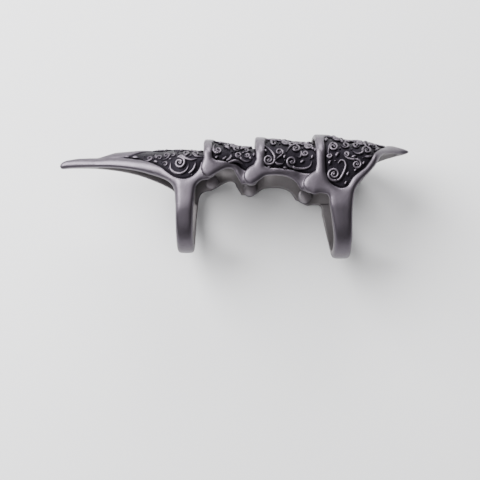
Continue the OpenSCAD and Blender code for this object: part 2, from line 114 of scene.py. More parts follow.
def curved(points: Sequence[Point], steps: int = 6) -> list[Point]:
    """A smooth line through a few points.

    Args:
        points: The points that the line goes through.
        steps: Pieces between one point and the next.

    Returns:
        The finer points.
    """
    p = np.array(points, float)
    padded = np.vstack([2 * p[0] - p[1], p, 2 * p[-1] - p[-2]])
    out: list[Point] = []
    for i in range(len(p) - 1):
        a, b, c, d = padded[i : i + 4]
        for k in range(steps):
            t = k / steps
            v = 0.5 * (2 * b + (c - a) * t + (2 * a - 5 * b + 4 * c - d) * t**2
                       + (3 * b - a - 3 * c + d) * t**3)
            out.append((float(v[0]), float(v[1])))
    out.append((float(p[-1][0]), float(p[-1][1])))
    return out


def joined(a: np.ndarray, b: np.ndarray, soft: float) -> np.ndarray:
    """Union of two distance fields, with a fillet of that softness."""
    h = np.clip(0.5 + 0.5 * (b - a) / soft, 0, 1)
    return b + (a - b) * h - soft * h * (1 - h)


def kept(a: np.ndarray, b: np.ndarray, soft: float) -> np.ndarray:
    """What two distance fields share, with edges rounded by that softness."""
    return -joined(-a, -b, soft)


def slab(value: np.ndarray, low: float, high: float) -> np.ndarray:
    """Distance to the space between two parallel faces, negative inside it."""
    return np.abs(value - (low + high) / 2) - (high - low) / 2


def from_hinge(number: int, x: np.ndarray, y: np.ndarray) -> np.ndarray:
    """Distance to a hinge's axis."""
    return np.hypot(x - HINGES[number][0], y - HINGES[number][1])


def rounded(rim: np.ndarray, radius: float) -> np.ndarray:
    """Fall of a round rim: 1 at its foot, 0 from that radius inwards."""
    return 1 - np.sqrt(np.maximum(1 - (1 - np.clip(rim / radius, 0, 1)) ** 2, 0))


def eased(low: float, high: float, value: np.ndarray) -> np.ndarray:
    """A smooth step from 0 at low to 1 at high."""
    t = np.clip((value - low) / (high - low), 0, 1)
    return t * t * (3 - 2 * t)


class Seen(Enum):
    """From where a scroll is drawn before it is laid on the plate."""

    SIDE = "side"
    TOP = "top"


@dataclass(frozen=True)
class Block:
    """Grid of sample points over half of a plate, in drawing millimetres; the other half mirrors it."""

    x: tuple[float, float]
    y: tuple[float, float]
    deep: float = 12.2
    step: float = 0.14

    def axes(self) -> tuple[np.ndarray, np.ndarray, np.ndarray]:
        """The grid's three axes.

        Returns:
            The axes along, up and across the finger, shaped so that they spread over the grid.
        """
        xs = np.arange(self.x[0], self.x[1], self.step, dtype=np.float32)
        ys = np.arange(self.y[0], self.y[1], self.step, dtype=np.float32)
        zs = (np.arange(int(self.deep / self.step)) + 0.5).astype(np.float32) * self.step
        return xs[:, None, None], ys[None, :, None], zs[None, None, :]

    def skin(self, half: np.ndarray) -> tuple[np.ndarray, np.ndarray]:
        """Mesh of the surface where the mirrored field is zero.

        Args:
            half: Distances on the grid, negative inside the metal.

        Returns:
            Points in drawing millimetres, and the corner numbers of each face.
        """
        whole = np.concatenate([half[:, :, ::-1], half], axis=2)
        grid = openvdb.FloatGrid()
        grid.background = REACH
        grid.copyFromArray(np.ascontiguousarray(np.clip(whole, -REACH, REACH), dtype=np.float32))
        points, quads = grid.convertToQuads(isovalue=0.0)
        corner = np.array([self.x[0], self.y[0], -(half.shape[2] - 0.5) * self.step])
        return np.asarray(points, float) * self.step + corner, np.asarray(quads, int)


@dataclass(frozen=True)
class Arch:
    """Round arch over flat sides, along rows of x, base height, crown height and half width."""

    rows: tuple[Row, ...]
    power: float = 2.3
    blur: float = 0.45
    step: float = 0.1
    taps: int = 12
    margin: float = 4.0
    probe: float = 0.05
    least_tall: float = 0.05
    least_steep: float = 0.03
    most: float = 0.9995

    def columns(self, x: np.ndarray) -> tuple[np.ndarray, np.ndarray, np.ndarray]:
        """The arch's section at places along the finger, with the rows' corners eased.

        Args:
            x: The places.

        Returns:
            Base height, crown height and half width at each.
        """
        xs = [row[0] for row in self.rows]
        fine = np.arange(xs[0] - self.margin, xs[-1] + self.margin, self.step)
        bell = np.exp(-0.5 * (np.arange(-self.taps, self.taps + 1) * self.step / self.blur) ** 2)
        out = []
        for n in (1, 2, 3):
            line = np.interp(fine, xs, [row[n] for row in self.rows])
            line = np.convolve(np.pad(line, self.taps, mode="edge"), bell / bell.sum(), "valid")
            out.append(np.interp(x, fine, line).astype(np.float32))
        return out[0], out[1], out[2]

    def distance(self, x: np.ndarray, y: np.ndarray, z: np.ndarray) -> np.ndarray:
        """Signed distance to the arch.

        Args:
            x: Places along the finger.
            y: Heights in the side drawing.
            z: Places across the finger.

        Returns:
            The distances, negative under the arch.
        """
        base, crown, half = self.columns(x)
        tall = np.maximum(crown - base, self.least_tall)
        rise = np.maximum(y - base, 0) / tall
        reach = np.abs(z) / half
        p = self.power
        up, out = rise ** (p - 1), reach ** (p - 1)
        total = np.maximum(rise * up + reach * out, 1e-6)
        q = total ** (1 / p)
        steep = np.hypot(up / tall, out / half) * q / total
        return (q - 1) / np.maximum(steep, self.least_steep)

    def spots(self, a: np.ndarray, b: np.ndarray, seen: Seen) -> np.ndarray:
        """Points of the surface that a drawing of it shows at a and b.

        Args:
            a: Places along the finger.
            b: Heights in the side drawing, or places across the finger in the top one.
            seen: Which drawing.

        Returns:
            The points, in drawing millimetres, on the near side.
        """
        base, crown, half = self.columns(a)
        p = self.power
        if seen is Seen.SIDE:
            rise = np.clip((b - base) / (crown - base), 0, self.most)
            return np.stack([a, b, half * (1 - rise**p) ** (1 / p)], axis=1)
        reach = np.clip(np.abs(b) / half, 0, self.most)
        return np.stack([a, base + (crown - base) * (1 - reach**p) ** (1 / p), b], axis=1)

    def normals(self, spots: np.ndarray) -> np.ndarray:
        """Outward directions of the surface.

        Args:
            spots: Points of the surface.

        Returns:
            A direction of length 1 for each.
        """
        out = np.zeros(spots.shape)
        for n in range(3):
            step = np.zeros(3)
            step[n] = self.probe
            out[:, n] = self.distance(*(spots + step).T) - self.distance(*(spots - step).T)
        return out / np.linalg.norm(out, axis=1, keepdims=True)


@dataclass(frozen=True)
class Outline:
    """Closed line in the side drawing, or in the top one for a ridge."""

    points: tuple[Point, ...]

    def inside(self, x: np.ndarray, y: np.ndarray) -> np.ndarray:
        """Distance to the line.

        Args:
            x: Places along the finger.
            y: Heights, or places across the finger.

        Returns:
            The distances, positive inside the line.
        """
        near = np.full(np.broadcast(x, y).shape, 1e9)
        odd = np.zeros(near.shape, bool)
        for (ax, ay), (bx, by) in zip(self.points, self.points[1:] + self.points[:1]):
            dx, dy = bx - ax, by - ay
            long2 = dx * dx + dy * dy
            if long2 < 1e-12:  # the same point twice
                continue
            t = np.clip(((x - ax) * dx + (y - ay) * dy) / long2, 0, 1)
            near = np.minimum(near, np.hypot(x - ax - t * dx, y - ay - t * dy))
            if ay != by:
                odd ^= ((ay > y) != (by > y)) & (x < (bx - ax) * (y - ay) / (by - ay) + ax)
        return np.where(odd, near, -near)


@dataclass(frozen=True)
class Stroke:
    """One wire of the scrollwork: its points in a drawing of the plate, and its thickness along them."""

    points: tuple[Point, ...]
    gauge: tuple[float, ...]
    seen: Seen = Seen.SIDE


@dataclass(frozen=True)
class Bead:
    """One round bead of the scrollwork."""

    at: Point
    radius: float
    seen: Seen = Seen.SIDE


Work = tuple[list[Stroke], list[Bead]]


def sweep(points: Sequence[Point], thick: float) -> Stroke:
    """Wire along a smooth line in the side drawing, full in its middle and thin at its end.

    Args:
        points: Points of the line.
        thick: Largest radius of the wire.

    Returns:
        The stroke.
    """
    head, rise, thinned = 0.55, 1.25, 0.55
    line = curved(points, 5)
    n = len(line) - 1
    gauge = tuple(thick * (head + (1 - head) * math.sin(math.pi * min(1.0, rise * i / n)) ** 0.7)
                  * (1 - thinned * (i / n) ** 3) for i in range(n + 1))
    return Stroke(tuple(line), gauge)


def volute(x: float, y: float, radius: float, start: float, turns: float, thick: float,
           seen: Seen = Seen.SIDE, tail: Sequence[Point] = ()) -> Stroke:
    """Spiral wire that winds inwards, after an optional tail that leads to it.

    Args:
        x: Place of its eye along the finger.
        y: Place of its eye up or across.
        radius: Radius where it starts to wind.
        start: Angle of that start in degrees.
        turns: Turns it makes, clockwise below zero.
        thick: Largest radius of the wire.
        seen: The drawing that it is in.
        tail: Points that come before the winding.

    Returns:
        The stroke.
    """
    per_turn, closes, thinned = 16, 0.78, 0.3
    steps = max(10, int(abs(turns) * per_turn))
    wind: list[Point] = []
    for i in range(steps + 1):
        t = i / steps
        angle = math.radians(start + 360 * turns * t)
        r = radius * (1 - closes * t**0.9)
        wind.append((x + r * math.cos(angle), y + r * math.sin(angle)))
    fine = 5
    lead = curved(list(tail) + wind[:2], fine)[:-fine] if tail else []
    line = lead + wind
    n = len(line) - 1
    gauge = tuple(thick * (0.45 + 0.55 * min(1.0, 3.0 * i / n)) * (1 - thinned * (i / n) ** 2)
                  for i in range(n + 1))
    return Stroke(tuple(line), gauge, seen)


def leaf(x: float, y: float, long: float, turn: float, bow: float, thick: float,
         seen: Seen = Seen.SIDE) -> Stroke:
    """Leaf that is pointed at both ends and bowed sideways.

    Args:
        x: Place of its middle along the finger.
        y: Place of its middle up or across.
        long: Its length.
        turn: Its direction in degrees.
        bow: How far its middle stands off its chord.
        thick: Radius at its fullest.
        seen: The drawing that it is in.

    Returns:
        The stroke.
    """
    half_steps, tip, lean = 5, 0.12, 0.3
    c, s = math.cos(math.radians(turn)), math.sin(math.radians(turn))
    line, gauge = [], []
    for i in range(2 * half_steps + 1):
        t = i / half_steps - 1
        u, v = long / 2 * t, bow * (1 - t * t)
        line.append((x + u * c - v * s, y + u * s + v * c))
        gauge.append(thick * max(tip, (1 - abs(t) ** 2.2) * (1 - lean * t)))
    return Stroke(tuple(line), tuple(gauge), seen)


def beads_at(*rows: Place) -> list[Bead]:
    """Beads of the side drawing, each row holding its place along, its height and its radius."""
    return [Bead((x, y), radius) for x, y, radius in rows]


def running(start: float, end: float, across: float, radius: float, first: int, thick: float = 0.22) -> Work:
    """Running scroll along the crown: a stem that winds into volutes on either side in turn, with leaves.

    Its parts keep their places to each other: all of them are shares of the radius or of the pitch.

    Args:
        start: Place of its first volute along the finger.
        end: Place that its last volute doesn't pass.
        across: Distance of its stem from the middle of the crown.
        radius: Radius of its volutes.
        first: 1 if the first volute lies outwards of the stem, -1 if inwards.
        thick: Largest radius of its wire.

    Returns:
        Its strokes and its beads.
    """
    strokes: list[Stroke] = []
    beads: list[Bead] = []
    pitch = radius * 2.05
    for n in range(int((end - start) / pitch) + 1):
        x = start + n * pitch
        side = first * (1 if n % 2 == 0 else -1)
        y = across + side * radius * 0.72
        tail = [(x - pitch, across + side * radius * 0.2), (x - pitch * 0.72, across - side * radius * 0.12)]
        strokes += [
            volute(x, y, radius, -side * 125, side * 1.5, thick, Seen.TOP, tail),
            leaf(x - pitch * 0.1, across - side * radius * 0.95, radius * 1.35, side * 28,
                 side * radius * 0.16, thick * 1.15, Seen.TOP),
            leaf(x + pitch * 0.46, across + side * radius * 1.35, radius * 0.9, side * 62,
                 0.08, thick, Seen.TOP),
        ]
        beads += [Bead((x, y), thick * 1.25, Seen.TOP),
                  Bead((x + pitch * 0.5, across - side * radius * 1.45), thick * 1.1, Seen.TOP)]
    return strokes, beads


def crown_work(runs: Sequence[Work], beads: Sequence[Point], leaves: Sequence[float], long: float,
               thick: float) -> Work:
    """Scrollwork over a crown: running scrolls, and leaves and beads in turn along its middle.

    Args:
        runs: The running scrolls.
        beads: Place along the middle and radius of each bead.
        leaves: Place of each leaf along the middle.
        long: The leaves' length.
        thick: The leaves' radius.

    Returns:
        Its strokes and its beads.
    """
    strokes = [stroke for wires, _ in runs for stroke in wires]
    strokes += [leaf(x, 0.0, long, 0, 0.0, thick, Seen.TOP) for x in leaves]
    dots = [Bead((x, 0.0), radius, Seen.TOP) for x, radius in beads]
    return strokes, dots + [bead for _, more in runs for bead in more]


class Socket:
    """A value in a shader, on which plain arithmetic adds the nodes for it."""

    def __init__(self, shader: "Shader", socket: bpy.types.NodeSocket) -> None:
        """Wraps a node's output."""
        self.shader = shader
        self.socket = socket

    def _math(self, operation: str, *values: Any) -> "Socket":
        """A Math node of that operation."""
        return self.shader.node("ShaderNodeMath", {"operation": operation}, values)

    def __add__(self, other: Any) -> "Socket":
        """Sum."""
        return self._math("ADD", self, other)

    def __radd__(self, other: Any) -> "Socket":
        """Sum, reflected."""
        return self._math("ADD", other, self)

    def __sub__(self, other: Any) -> "Socket":
        """Difference."""
        return self._math("SUBTRACT", self, other)

    def __rsub__(self, other: Any) -> "Socket":
        """Difference, reflected."""
        return self._math("SUBTRACT", other, self)

    def __mul__(self, other: Any) -> "Socket":
        """Product."""
        return self._math("MULTIPLY", self, other)

    def __rmul__(self, other: Any) -> "Socket":
        """Product, reflected."""
        return self._math("MULTIPLY", other, self)

    def limited(self) -> "Socket":
        """The value kept between 0 and 1."""
        return self.shader.node("ShaderNodeClamp", {}, (self,))


class Shader:
    """One material's node tree."""

    def __init__(self, name: str) -> None:
        """Starts the tree.

        Args:
            name: The material's name.
        """
        self.material = bpy.data.materials.new(name)
        self.material.use_nodes = True
        self.tree = self.material.node_tree
        self.surface = self.tree.nodes["Principled BSDF"]

    def node(self, kind: str, settings: dict[str, Any], values: Iterable[Any] | dict[str | int, Any] = (),
             out: int | str = 0) -> Socket:
        """Adds a node.

        Args:
            kind: The node's type.
            settings: Its properties, set before its sockets.
            values: Values or links for its sockets, in order, or by name or number.
            out: Which of its outputs is wanted.

        Returns:
            That output.
        """
        made = self.tree.nodes.new(kind)
        for key, value in settings.items():
            setattr(made, key, value)
        for key, value in values.items() if isinstance(values, dict) else enumerate(values):
            self.feed(made.inputs[key], value)
        return Socket(self, made.outputs[out])

    def feed(self, socket: bpy.types.NodeSocket, value: Any) -> None:
        """Links or sets one socket.

        Args:
            socket: The socket.
            value: Another node's output, or a plain value.
        """
        if isinstance(value, Socket):
            self.tree.links.new(value.socket, socket)
        else:
            socket.default_value = value

    def mix(self, share: Any, first: Any, second: Any) -> Socket:
        """Colour between two colours."""
        return self.node("ShaderNodeMix", {"data_type": "RGBA"}, {0: share, 6: first, 7: second}, 2)

    def mark(self, name: str) -> Socket:
        """A mark that the mesh holds per vertex under that name."""
        return self.node("ShaderNodeAttribute", {"attribute_name": name}, (), "Fac")

    def noise(self, where: Socket, scale: float, detail: float, rough: float) -> Socket:
        """Noise at that scale, per metre."""
        values = {"Vector": where, "Scale": scale, "Detail": detail, "Roughness": rough}
        return self.node("ShaderNodeTexNoise", {}, values)

    def band_of(self, value: Socket, low: float, high: float) -> Socket:
        """Smooth step of a value from 0 at low to 1 at high."""
        settings = {"interpolation_type": "SMOOTHSTEP"}
        return self.node("ShaderNodeMapRange", settings, (value, low, high, 0.0, 1.0))


@dataclass(frozen=True)
class DarkSteel:
    """Blackened steel: dark in the sunk fields, rubbed lighter on rims and scrolls, and with painted light on
    the inside, which lies in shade: a lighter colour there.
    """

    name: str = "oxidised_steel"
    deep: Colour = (0.004, 0.0035, 0.0045, 1)
    dark: Colour = (0.0135, 0.0117, 0.0155, 1)
    bright: Colour = (0.094, 0.082, 0.098, 1)
    # painted light: the lighter colour given to the inside, which lies in shade
    inside_painted_light: Colour = (0.25, 0.235, 0.24, 1)
    cover: float = 0.85  # share of the metal under it that the dark foot or the inside's painted light hides
    rough_deep: float = 0.62
    rough_bright: float = 0.42
    rough_inside: float = 0.16  # added on the inside
    rough_spread: float = 0.14  # how much the mottle changes it
    cloud_size: float = 260.0  # the noises' scales, per metre
    mottle_size: float = 1400.0
    pit_size: float = 4200.0
    cloud_wear: float = 0.4  # how much each noise moves the rubbed parts' edge
    mottle_wear: float = 0.3
    rubbed: Point = (0.12, 0.98)
    foot: Point = (0.15, 0.9)
    grain: float = 0.35
    grain_deep: float = 0.00012

    def material(self) -> bpy.types.Material:
        """Builds the material.

        Returns:
            The material.
        """
        s = Shader(self.name)
        where = s.node("ShaderNodeTexCoord", {}, (), "Object")
        lift, edge, hollow = s.mark("lift"), s.mark("edge"), s.mark("hollow")
        cloud = s.noise(where, self.cloud_size, 3.0, 0.55)
        mottle = s.noise(where, self.mottle_size, 4.0, 0.62)
        pits = s.noise(where, self.pit_size, 2.0, 0.5)
        # the lift mark is rubbed wear on rims and scrolls; on the inside and on the rivets it is painted
        # light
        wear_and_painted_lift = (lift + (cloud - 0.5) * self.cloud_wear + (mottle - 0.5) * self.mottle_wear).limited()
        tone = s.band_of(wear_and_painted_lift, *self.rubbed)
        shade = s.mix(tone, self.dark, self.bright)
        shade = s.mix(s.band_of(edge, *self.foot) * self.cover, shade, self.deep)
        # painted light: the inside, which lies in shade, is mixed towards a lighter colour
        shade = s.mix(hollow * self.cover, shade, self.inside_painted_light)
        rough = (self.rough_deep + tone * (self.rough_bright - self.rough_deep)
                 + (mottle - 0.5) * self.rough_spread + hollow * self.rough_inside).limited()
        height = mottle * (1.3 - 0.7 * tone) + pits * (0.8 - 0.6 * tone) + cloud * 0.8
        grain = {"Strength": self.grain, "Distance": self.grain_deep, "Height": height}
        bump = s.node("ShaderNodeBump", {}, grain)
        for name, value in (("Base Color", shade), ("Metallic", 1.0), ("Roughness", rough), ("Normal", bump)):
            s.feed(s.surface.inputs[name], value)
        return s.material


@dataclass(frozen=True)
class PaleFloor:
    """Plain pale paper under the ring."""

    name: str = "pale_floor"
    colour: Colour = (0.74, 0.74, 0.75, 1)
    rough: float = 0.85

    def material(self) -> bpy.types.Material:
        """Builds the material.

        Returns:
            The material.
        """
        s = Shader(self.name)
        s.feed(s.surface.inputs["Base Color"], self.colour)
        s.feed(s.surface.inputs["Roughness"], self.rough)
        return s.material


def mesh_of(name: str, points: np.ndarray, faces: np.ndarray) -> bpy.types.Mesh:
    """Smooth mesh from tables.

    Args:
        name: Its name.
        points: Its points in metres.
        faces: The corner numbers of its faces, all of the same number of sides.

    Returns:
        The mesh.
    """
    mesh = bpy.data.meshes.new(name)
    count, sides = faces.shape
    mesh.vertices.add(len(points))
    mesh.vertices.foreach_set("co", points.astype(np.float32).ravel())
    mesh.loops.add(count * sides)
    mesh.loops.foreach_set("vertex_index", faces.astype(np.int32).ravel())
    mesh.polygons.add(count)
    mesh.polygons.foreach_set("loop_start", np.arange(0, count * sides, sides, dtype=np.int32))
    mesh.polygons.foreach_set("use_smooth", np.ones(count, bool))
    mesh.update(calc_edges=True)
    mesh.validate()
    return mesh


def stored(mesh: bpy.types.Mesh, name: str, values: np.ndarray, kind: str = "FLOAT") -> None:
    """Keeps one value per vertex under that name."""
    mesh.attributes.new(name, kind, "POINT").data.foreach_set("value", values)


def turned_out(mesh: bpy.types.Mesh) -> None:
    """Turns a closed mesh's faces outwards, after its doubles are merged.

    Args:
        mesh: The mesh, changed in place.
    """
    work = bmesh.new()
    work.from_mesh(mesh)
    bmesh.ops.remove_doubles(work, verts=work.verts, dist=MERGED)
    bmesh.ops.recalc_face_normals(work, faces=work.faces)
    work.to_mesh(mesh)
    work.free()


class Grower:
    """Geometry Nodes tree that turns lines and points into round wire and beads."""

    def __init__(self) -> None:
        """Builds the tree, with named inputs for the wire's sides, the beads' detail and the metal."""
        self.tree = bpy.data.node_groups.new("wire_and_beads", "GeometryNodeTree")
        self.sockets: dict[str, str] = {}
        for name, kind in (("Lines", "Geometry"), ("Wire sides", "Int"), ("Bead detail", "Int"),
                           ("Metal", "Material")):
            socket = self.tree.interface.new_socket(name, in_out="INPUT", socket_type="NodeSocket" + kind)
            self.sockets[name] = socket.identifier
        self.tree.interface.new_socket("Shape", in_out="OUTPUT", socket_type="NodeSocketGeometry")
        start = self.tree.nodes.new("NodeGroupInput").outputs
        gauge = self._add("GeometryNodeInputNamedAttribute", {"data_type": "FLOAT"}, {"Name": "gauge"})
        is_bead = self._add("GeometryNodeInputNamedAttribute", {"data_type": "BOOLEAN"}, {"Name": "bead"})
        line = self._add("GeometryNodeMeshToCurve", {}, {"Mesh": start["Lines"]})
        ring = self._add("GeometryNodeCurvePrimitiveCircle", {}, {"Resolution": start["Wire sides"],
                                                                  "Radius": 1.0})
        wire = self._add("GeometryNodeCurveToMesh", {}, {"Curve": line, "Profile Curve": ring, "Scale": gauge,
                                                         "Fill Caps": True})
        ball = self._add("GeometryNodeMeshIcoSphere", {}, {"Radius": 1.0,
                                                           "Subdivisions": start["Bead detail"]})
        spots = self._add("GeometryNodeInstanceOnPoints", {}, {"Points": start["Lines"], "Selection": is_bead,
                                                               "Instance": ball, "Scale": gauge})
        both = self.tree.nodes.new("GeometryNodeJoinGeometry")
        for made in (wire, spots):
            self.tree.links.new(made, both.inputs[0])
        real = self._add("GeometryNodeRealizeInstances", {}, {"Geometry": both.outputs[0]})
        smooth = self._add("GeometryNodeSetShadeSmooth", {}, {"Geometry": real})
        dressed = self._add("GeometryNodeSetMaterial", {}, {"Geometry": smooth, "Material": start["Metal"]})
        self.tree.links.new(dressed, self.tree.nodes.new("NodeGroupOutput").inputs[0])

    def _add(self, kind: str, settings: dict[str, Any], values: dict[str, Any]) -> bpy.types.NodeSocket:
        """Adds one node.

        Args:
            kind: The node's type.
            settings: Its properties, set before its sockets.
            values: Values or links for its sockets, by name.

        Returns:
            Its first output.
        """
        made = self.tree.nodes.new(kind)
        for key, value in settings.items():
            setattr(made, key, value)
        for key, value in values.items():
            if isinstance(value, bpy.types.NodeSocket):
                self.tree.links.new(value, made.inputs[key])
            else:
                made.inputs[key].default_value = value
        return made.outputs[0]

    def grown(self, name: str, lines: Sequence[tuple[np.ndarray, np.ndarray]],
              beads: Sequence[tuple[np.ndarray, float]], metal: bpy.types.Material,
              sides: int = WIRE_SIDES) -> bpy.types.Mesh:
        """Wires and beads as a plain mesh.

        Args:
            name: The mesh's name.
            lines: Points of each wire in metres, and its radius at each point in metres.
            beads: Centre and radius of each bead in metres.
            metal: Their material.
            sides: Sides of the wire.

        Returns:
            The mesh, with its faces turned outwards.
        """
        points = [p for line, _ in lines for p in line] + [centre for centre, _ in beads]
        gauges = [g for _, radii in lines for g in radii] + [r for _, r in beads]
        edges, count = [], 0
        for line, _ in lines:
            edges += [(count + i, count + i + 1) for i in range(len(line) - 1)]
            count += len(line)
        source = bpy.data.meshes.new(name + "_lines")
        source.from_pydata([tuple(p) for p in points], edges, [])
        stored(source, "gauge", np.array(gauges, np.float32))
        stored(source, "bead", np.arange(len(points)) >= count, "BOOLEAN")
        holder = bpy.data.objects.new(name + "_lines", source)
        bpy.context.scene.collection.objects.link(holder)
        modifier = holder.modifiers.new("wire", "NODES")
        modifier.node_group = self.tree
        for socket, value in (("Wire sides", sides), ("Bead detail", BEAD_DETAIL), ("Metal", metal)):
            modifier[self.sockets[socket]] = value
        seen = bpy.context.evaluated_depsgraph_get()
        mesh = bpy.data.meshes.new_from_object(holder.evaluated_get(seen), depsgraph=seen)
        mesh.name = name
        holder.modifiers.remove(modifier)
        bpy.data.objects.remove(holder)
        bpy.data.meshes.remove(source)
        turned_out(mesh)
        return mesh


def piece(name: str, mesh: bpy.types.Mesh) -> bpy.types.Object:
    """Shows a mesh as a piece at the origin, and reports it.

    Args:
        name: The piece's name.
        mesh: Its mesh.

    Returns:
        The piece.
    """
    made = bpy.data.objects.new(name, mesh)
    bpy.context.scene.collection.objects.link(made)
    faces = sum(len(p.vertices) - 2 for p in mesh.polygons)
    LOG.info("%s: %d triangles", name, faces)
    return made


@dataclass(frozen=True)
class Fillets:
    """Softness of a casting's edges, in millimetres."""

    rim: float = 0.7  # along the rims' middle
    ring: float = 0.3  # from the arch's sides to the band
    root: float = 0.6  # of the inside over the band
    wall: float = 0.16  # from the outside to the inside
    edge: float = 0.55  # along the outline
    ear: float = 0.2  # round the ears' discs
    neck: float = 0.15  # from an ear to its plate
    bore: float = 0.22
    room: float = 0.1  # of the lobes' rooms for the ears


@dataclass(frozen=True)
class WearAndPaintedLight:
    """Where a casting's finish and its painted light on the inside change, in millimetres: each pair is where
    the change starts and ends.
    """

    rim: Point = (-0.3, 0.1)  # from bright to dark at the field's edge
    raised: Point = (0.05, 0.45)  # from bright to dark with depth
    inside: Point = (0.85, 1.1)  # from the outside's finish to the inside's painted light with depth
    foot_deep: Point = (0.2, 0.45)  # depth at which a rim's foot is dark
    foot_at: float = 0.12  # the foot's middle and width, from the field's edge inwards
    foot_wide: float = 0.3
    in_band: Point = (-0.5, 1.5)  # heights between which a band's inside, with the most painted light, gives way to the plate's
    painted_lift_inside: float = 0.75  # how bright the painted light on the plate's inside is


@dataclass
class CastPlate:
    """One cast plate of the row: an arched shell with a raised tube-like rim, a sunk field and scrollwork.

    The outline is the plate's edge in the side drawing, the window is the edge of its sunk field, and the
    ridge is the crown's bare part in the top drawing. Lobes and ears are given by their hinge's number, a
    band by its outside radius, and the bore by its radius and its ends.
    """

    node: str
    body: str
    outer: Arch
    inner: Arch
    outline: Outline
    window: Outline
    ridge: Outline
    block: Block
    work: Work
    lobe: int | None = None
    ear: int | None = None
    band: float | None = None
    band_x: float = 0.0  # its middle along the finger
    band_half: float = 1.5  # half of the width that stays solid over it
    band_room: float = 0.1  # how far past the band's radius the sides may stand, from band_low upwards
    band_low: float = -4.0
    bore: Place | None = None
    hollow: Point = (-FAR, 2 * FAR)  # where the inside starts and ends along the finger
    root_y: float = 0.7  # over a band, the inside starts at this height
    rim_r: float = 1.15  # the rims' round edges, and the share of the drop that they take
    rim_share: float = 0.68
    swell_r: float = 2.8  # the wider fall from the rims, and its share
    swell_share: float = 0.32
    ridge_deep: float = 2.5  # how far under the crown the bare ridge reaches
    ridge_steep: float = 1.6  # how much steeper its edges are than the rims'
    lobe_rise: float = 0.09  # how far a lobe's middle stands out
    lobe_ease: Point = (0.5, 3.2)  # distances from it between which that fades
    ear_r: float = 1.5
    soft: Fillets = Fillets()
    wear_and_painted_light: WearAndPaintedLight = WearAndPaintedLight()

    def surface(self, x: np.ndarray, y: np.ndarray, z: np.ndarray) -> np.ndarray:
        """Signed distance to the plate's outside, before anything is sunk: the arch, and the ring under it.

        Args:
            x: Places along the finger.
            y: Heights in the side drawing.
            z: Places across the finger.

        Returns:
            The distances, negative in the metal and inside the plate.
        """
        far = self.outer.distance(x, y, z)
        if self.band is None:
            return far
        ring = np.hypot(np.minimum(y, 0), z) - self.band - self.band_room * eased(self.band_low, 0.0, y)
        return kept(far, ring, self.soft.ring)

    def drop(self, x: np.ndarray, y: np.ndarray, z: np.ndarray) -> np.ndarray:
        """How far the outside lies under the plate's full surface.

        Args:
            x: Places along the finger.
            y: Heights in the side drawing.
            z: Places across the finger.

        Returns:
            The drop in millimetres: none on a rim's crest, most in the field and at the edges.
        """
        rim = joined(self.outline.inside(x, y), -self.window.inside(x, y), self.soft.rim)
        near_top = y > self.outer.columns(x)[1] - self.ridge_deep
        rim = np.maximum(rim, np.where(near_top, self.ridge.inside(x, np.abs(z)) * self.ridge_steep, -1))
        drop = FIELD_DROP * (self.rim_share * rounded(rim, self.rim_r)
                             + self.swell_share * rounded(rim, self.swell_r))
        if self.lobe is not None:
            drop = drop + self.lobe_rise * eased(*self.lobe_ease, from_hinge(self.lobe, x, y))
        return drop.astype(np.float32)

    def metal(self) -> np.ndarray:
        """Distances to the plate's surface over its block.

        Returns:
            The distances, negative inside the metal.
        """
        x, y, z = self.block.axes()
        edge = self.outline.inside(x[:, :, 0], y[:, :, 0]).astype(np.float32)[:, :, None]
        cavity = np.maximum(self.inner.distance(x, y, z), np.maximum(self.hollow[0] - x, x - self.hollow[1]))
        if self.band is not None:
            beside_band = np.maximum(cavity, self.band_half - np.abs(x - self.band_x))
            cavity = kept(beside_band, self.root_y - y, self.soft.root)
        solid = kept(self.surface(x, y, z) + self.drop(x, y, z), -cavity, self.soft.wall)
        solid = kept(solid, -edge, self.soft.edge)
        if self.ear is not None:
            disc = kept(from_hinge(self.ear, x, y) - self.ear_r, slab(z, EAR_IN, EAR_OUT), self.soft.ear)
            solid = joined(solid, disc, self.soft.neck)
        if self.bore is not None:
            radius, start, end = self.bore
            hole = np.maximum(np.hypot(y, z) - radius, slab(x, start, end))
            solid = kept(solid, -hole, self.soft.bore)
        if self.lobe is not None:
            clear = from_hinge(self.lobe, x, y) - EAR_RADII[self.lobe] - EAR_SLACK
            room = np.maximum(clear, slab(z, EAR_IN - 1, LOBE_IN))
            solid = kept(solid, -room, self.soft.room)
        if self.ear is not None:
            drilled = RIVET_HOLE - from_hinge(self.ear, x, y)
            solid = np.maximum(solid, np.where(z > EARS_FROM, drilled, -REACH))
        return solid.astype(np.float32)

    def marks(self, points: np.ndarray) -> tuple[np.ndarray, np.ndarray, np.ndarray]:
        """Marks of points in drawing millimetres.

        Args:
            points: The points.

        Returns:
            Lift, 1 on rims and 0 in the field, and painted light on the inside; edge, 1 at the rim's foot;
            hollow, 1 on the inside, where the lighter colour is painted light.
        """
        x, y, z = points.T
        wear_and_painted_light = self.wear_and_painted_light
        deep = -self.surface(x, y, z)
        field_in = self.window.inside(x, y)
        lift = np.maximum(1 - eased(*wear_and_painted_light.rim, field_in), 1 - eased(*wear_and_painted_light.raised, deep))
        inside = eased(*wear_and_painted_light.inside, deep)
        foot = np.exp(-((field_in - wear_and_painted_light.foot_at) / wear_and_painted_light.foot_wide) ** 2)
        edge = foot * (1 - inside) * eased(*wear_and_painted_light.foot_deep, deep)
        # painted light: the inside, which lies in shade, gets a lift of its own, and a band's inside the most
        painted_lift_inside = wear_and_painted_light.painted_lift_inside
        if self.band is not None:
            painted_lift_inside = painted_lift_inside + (1 - painted_lift_inside) * (1 - eased(*wear_and_painted_light.in_band, y))
        return lift * (1 - inside) + painted_lift_inside * inside, edge, inside

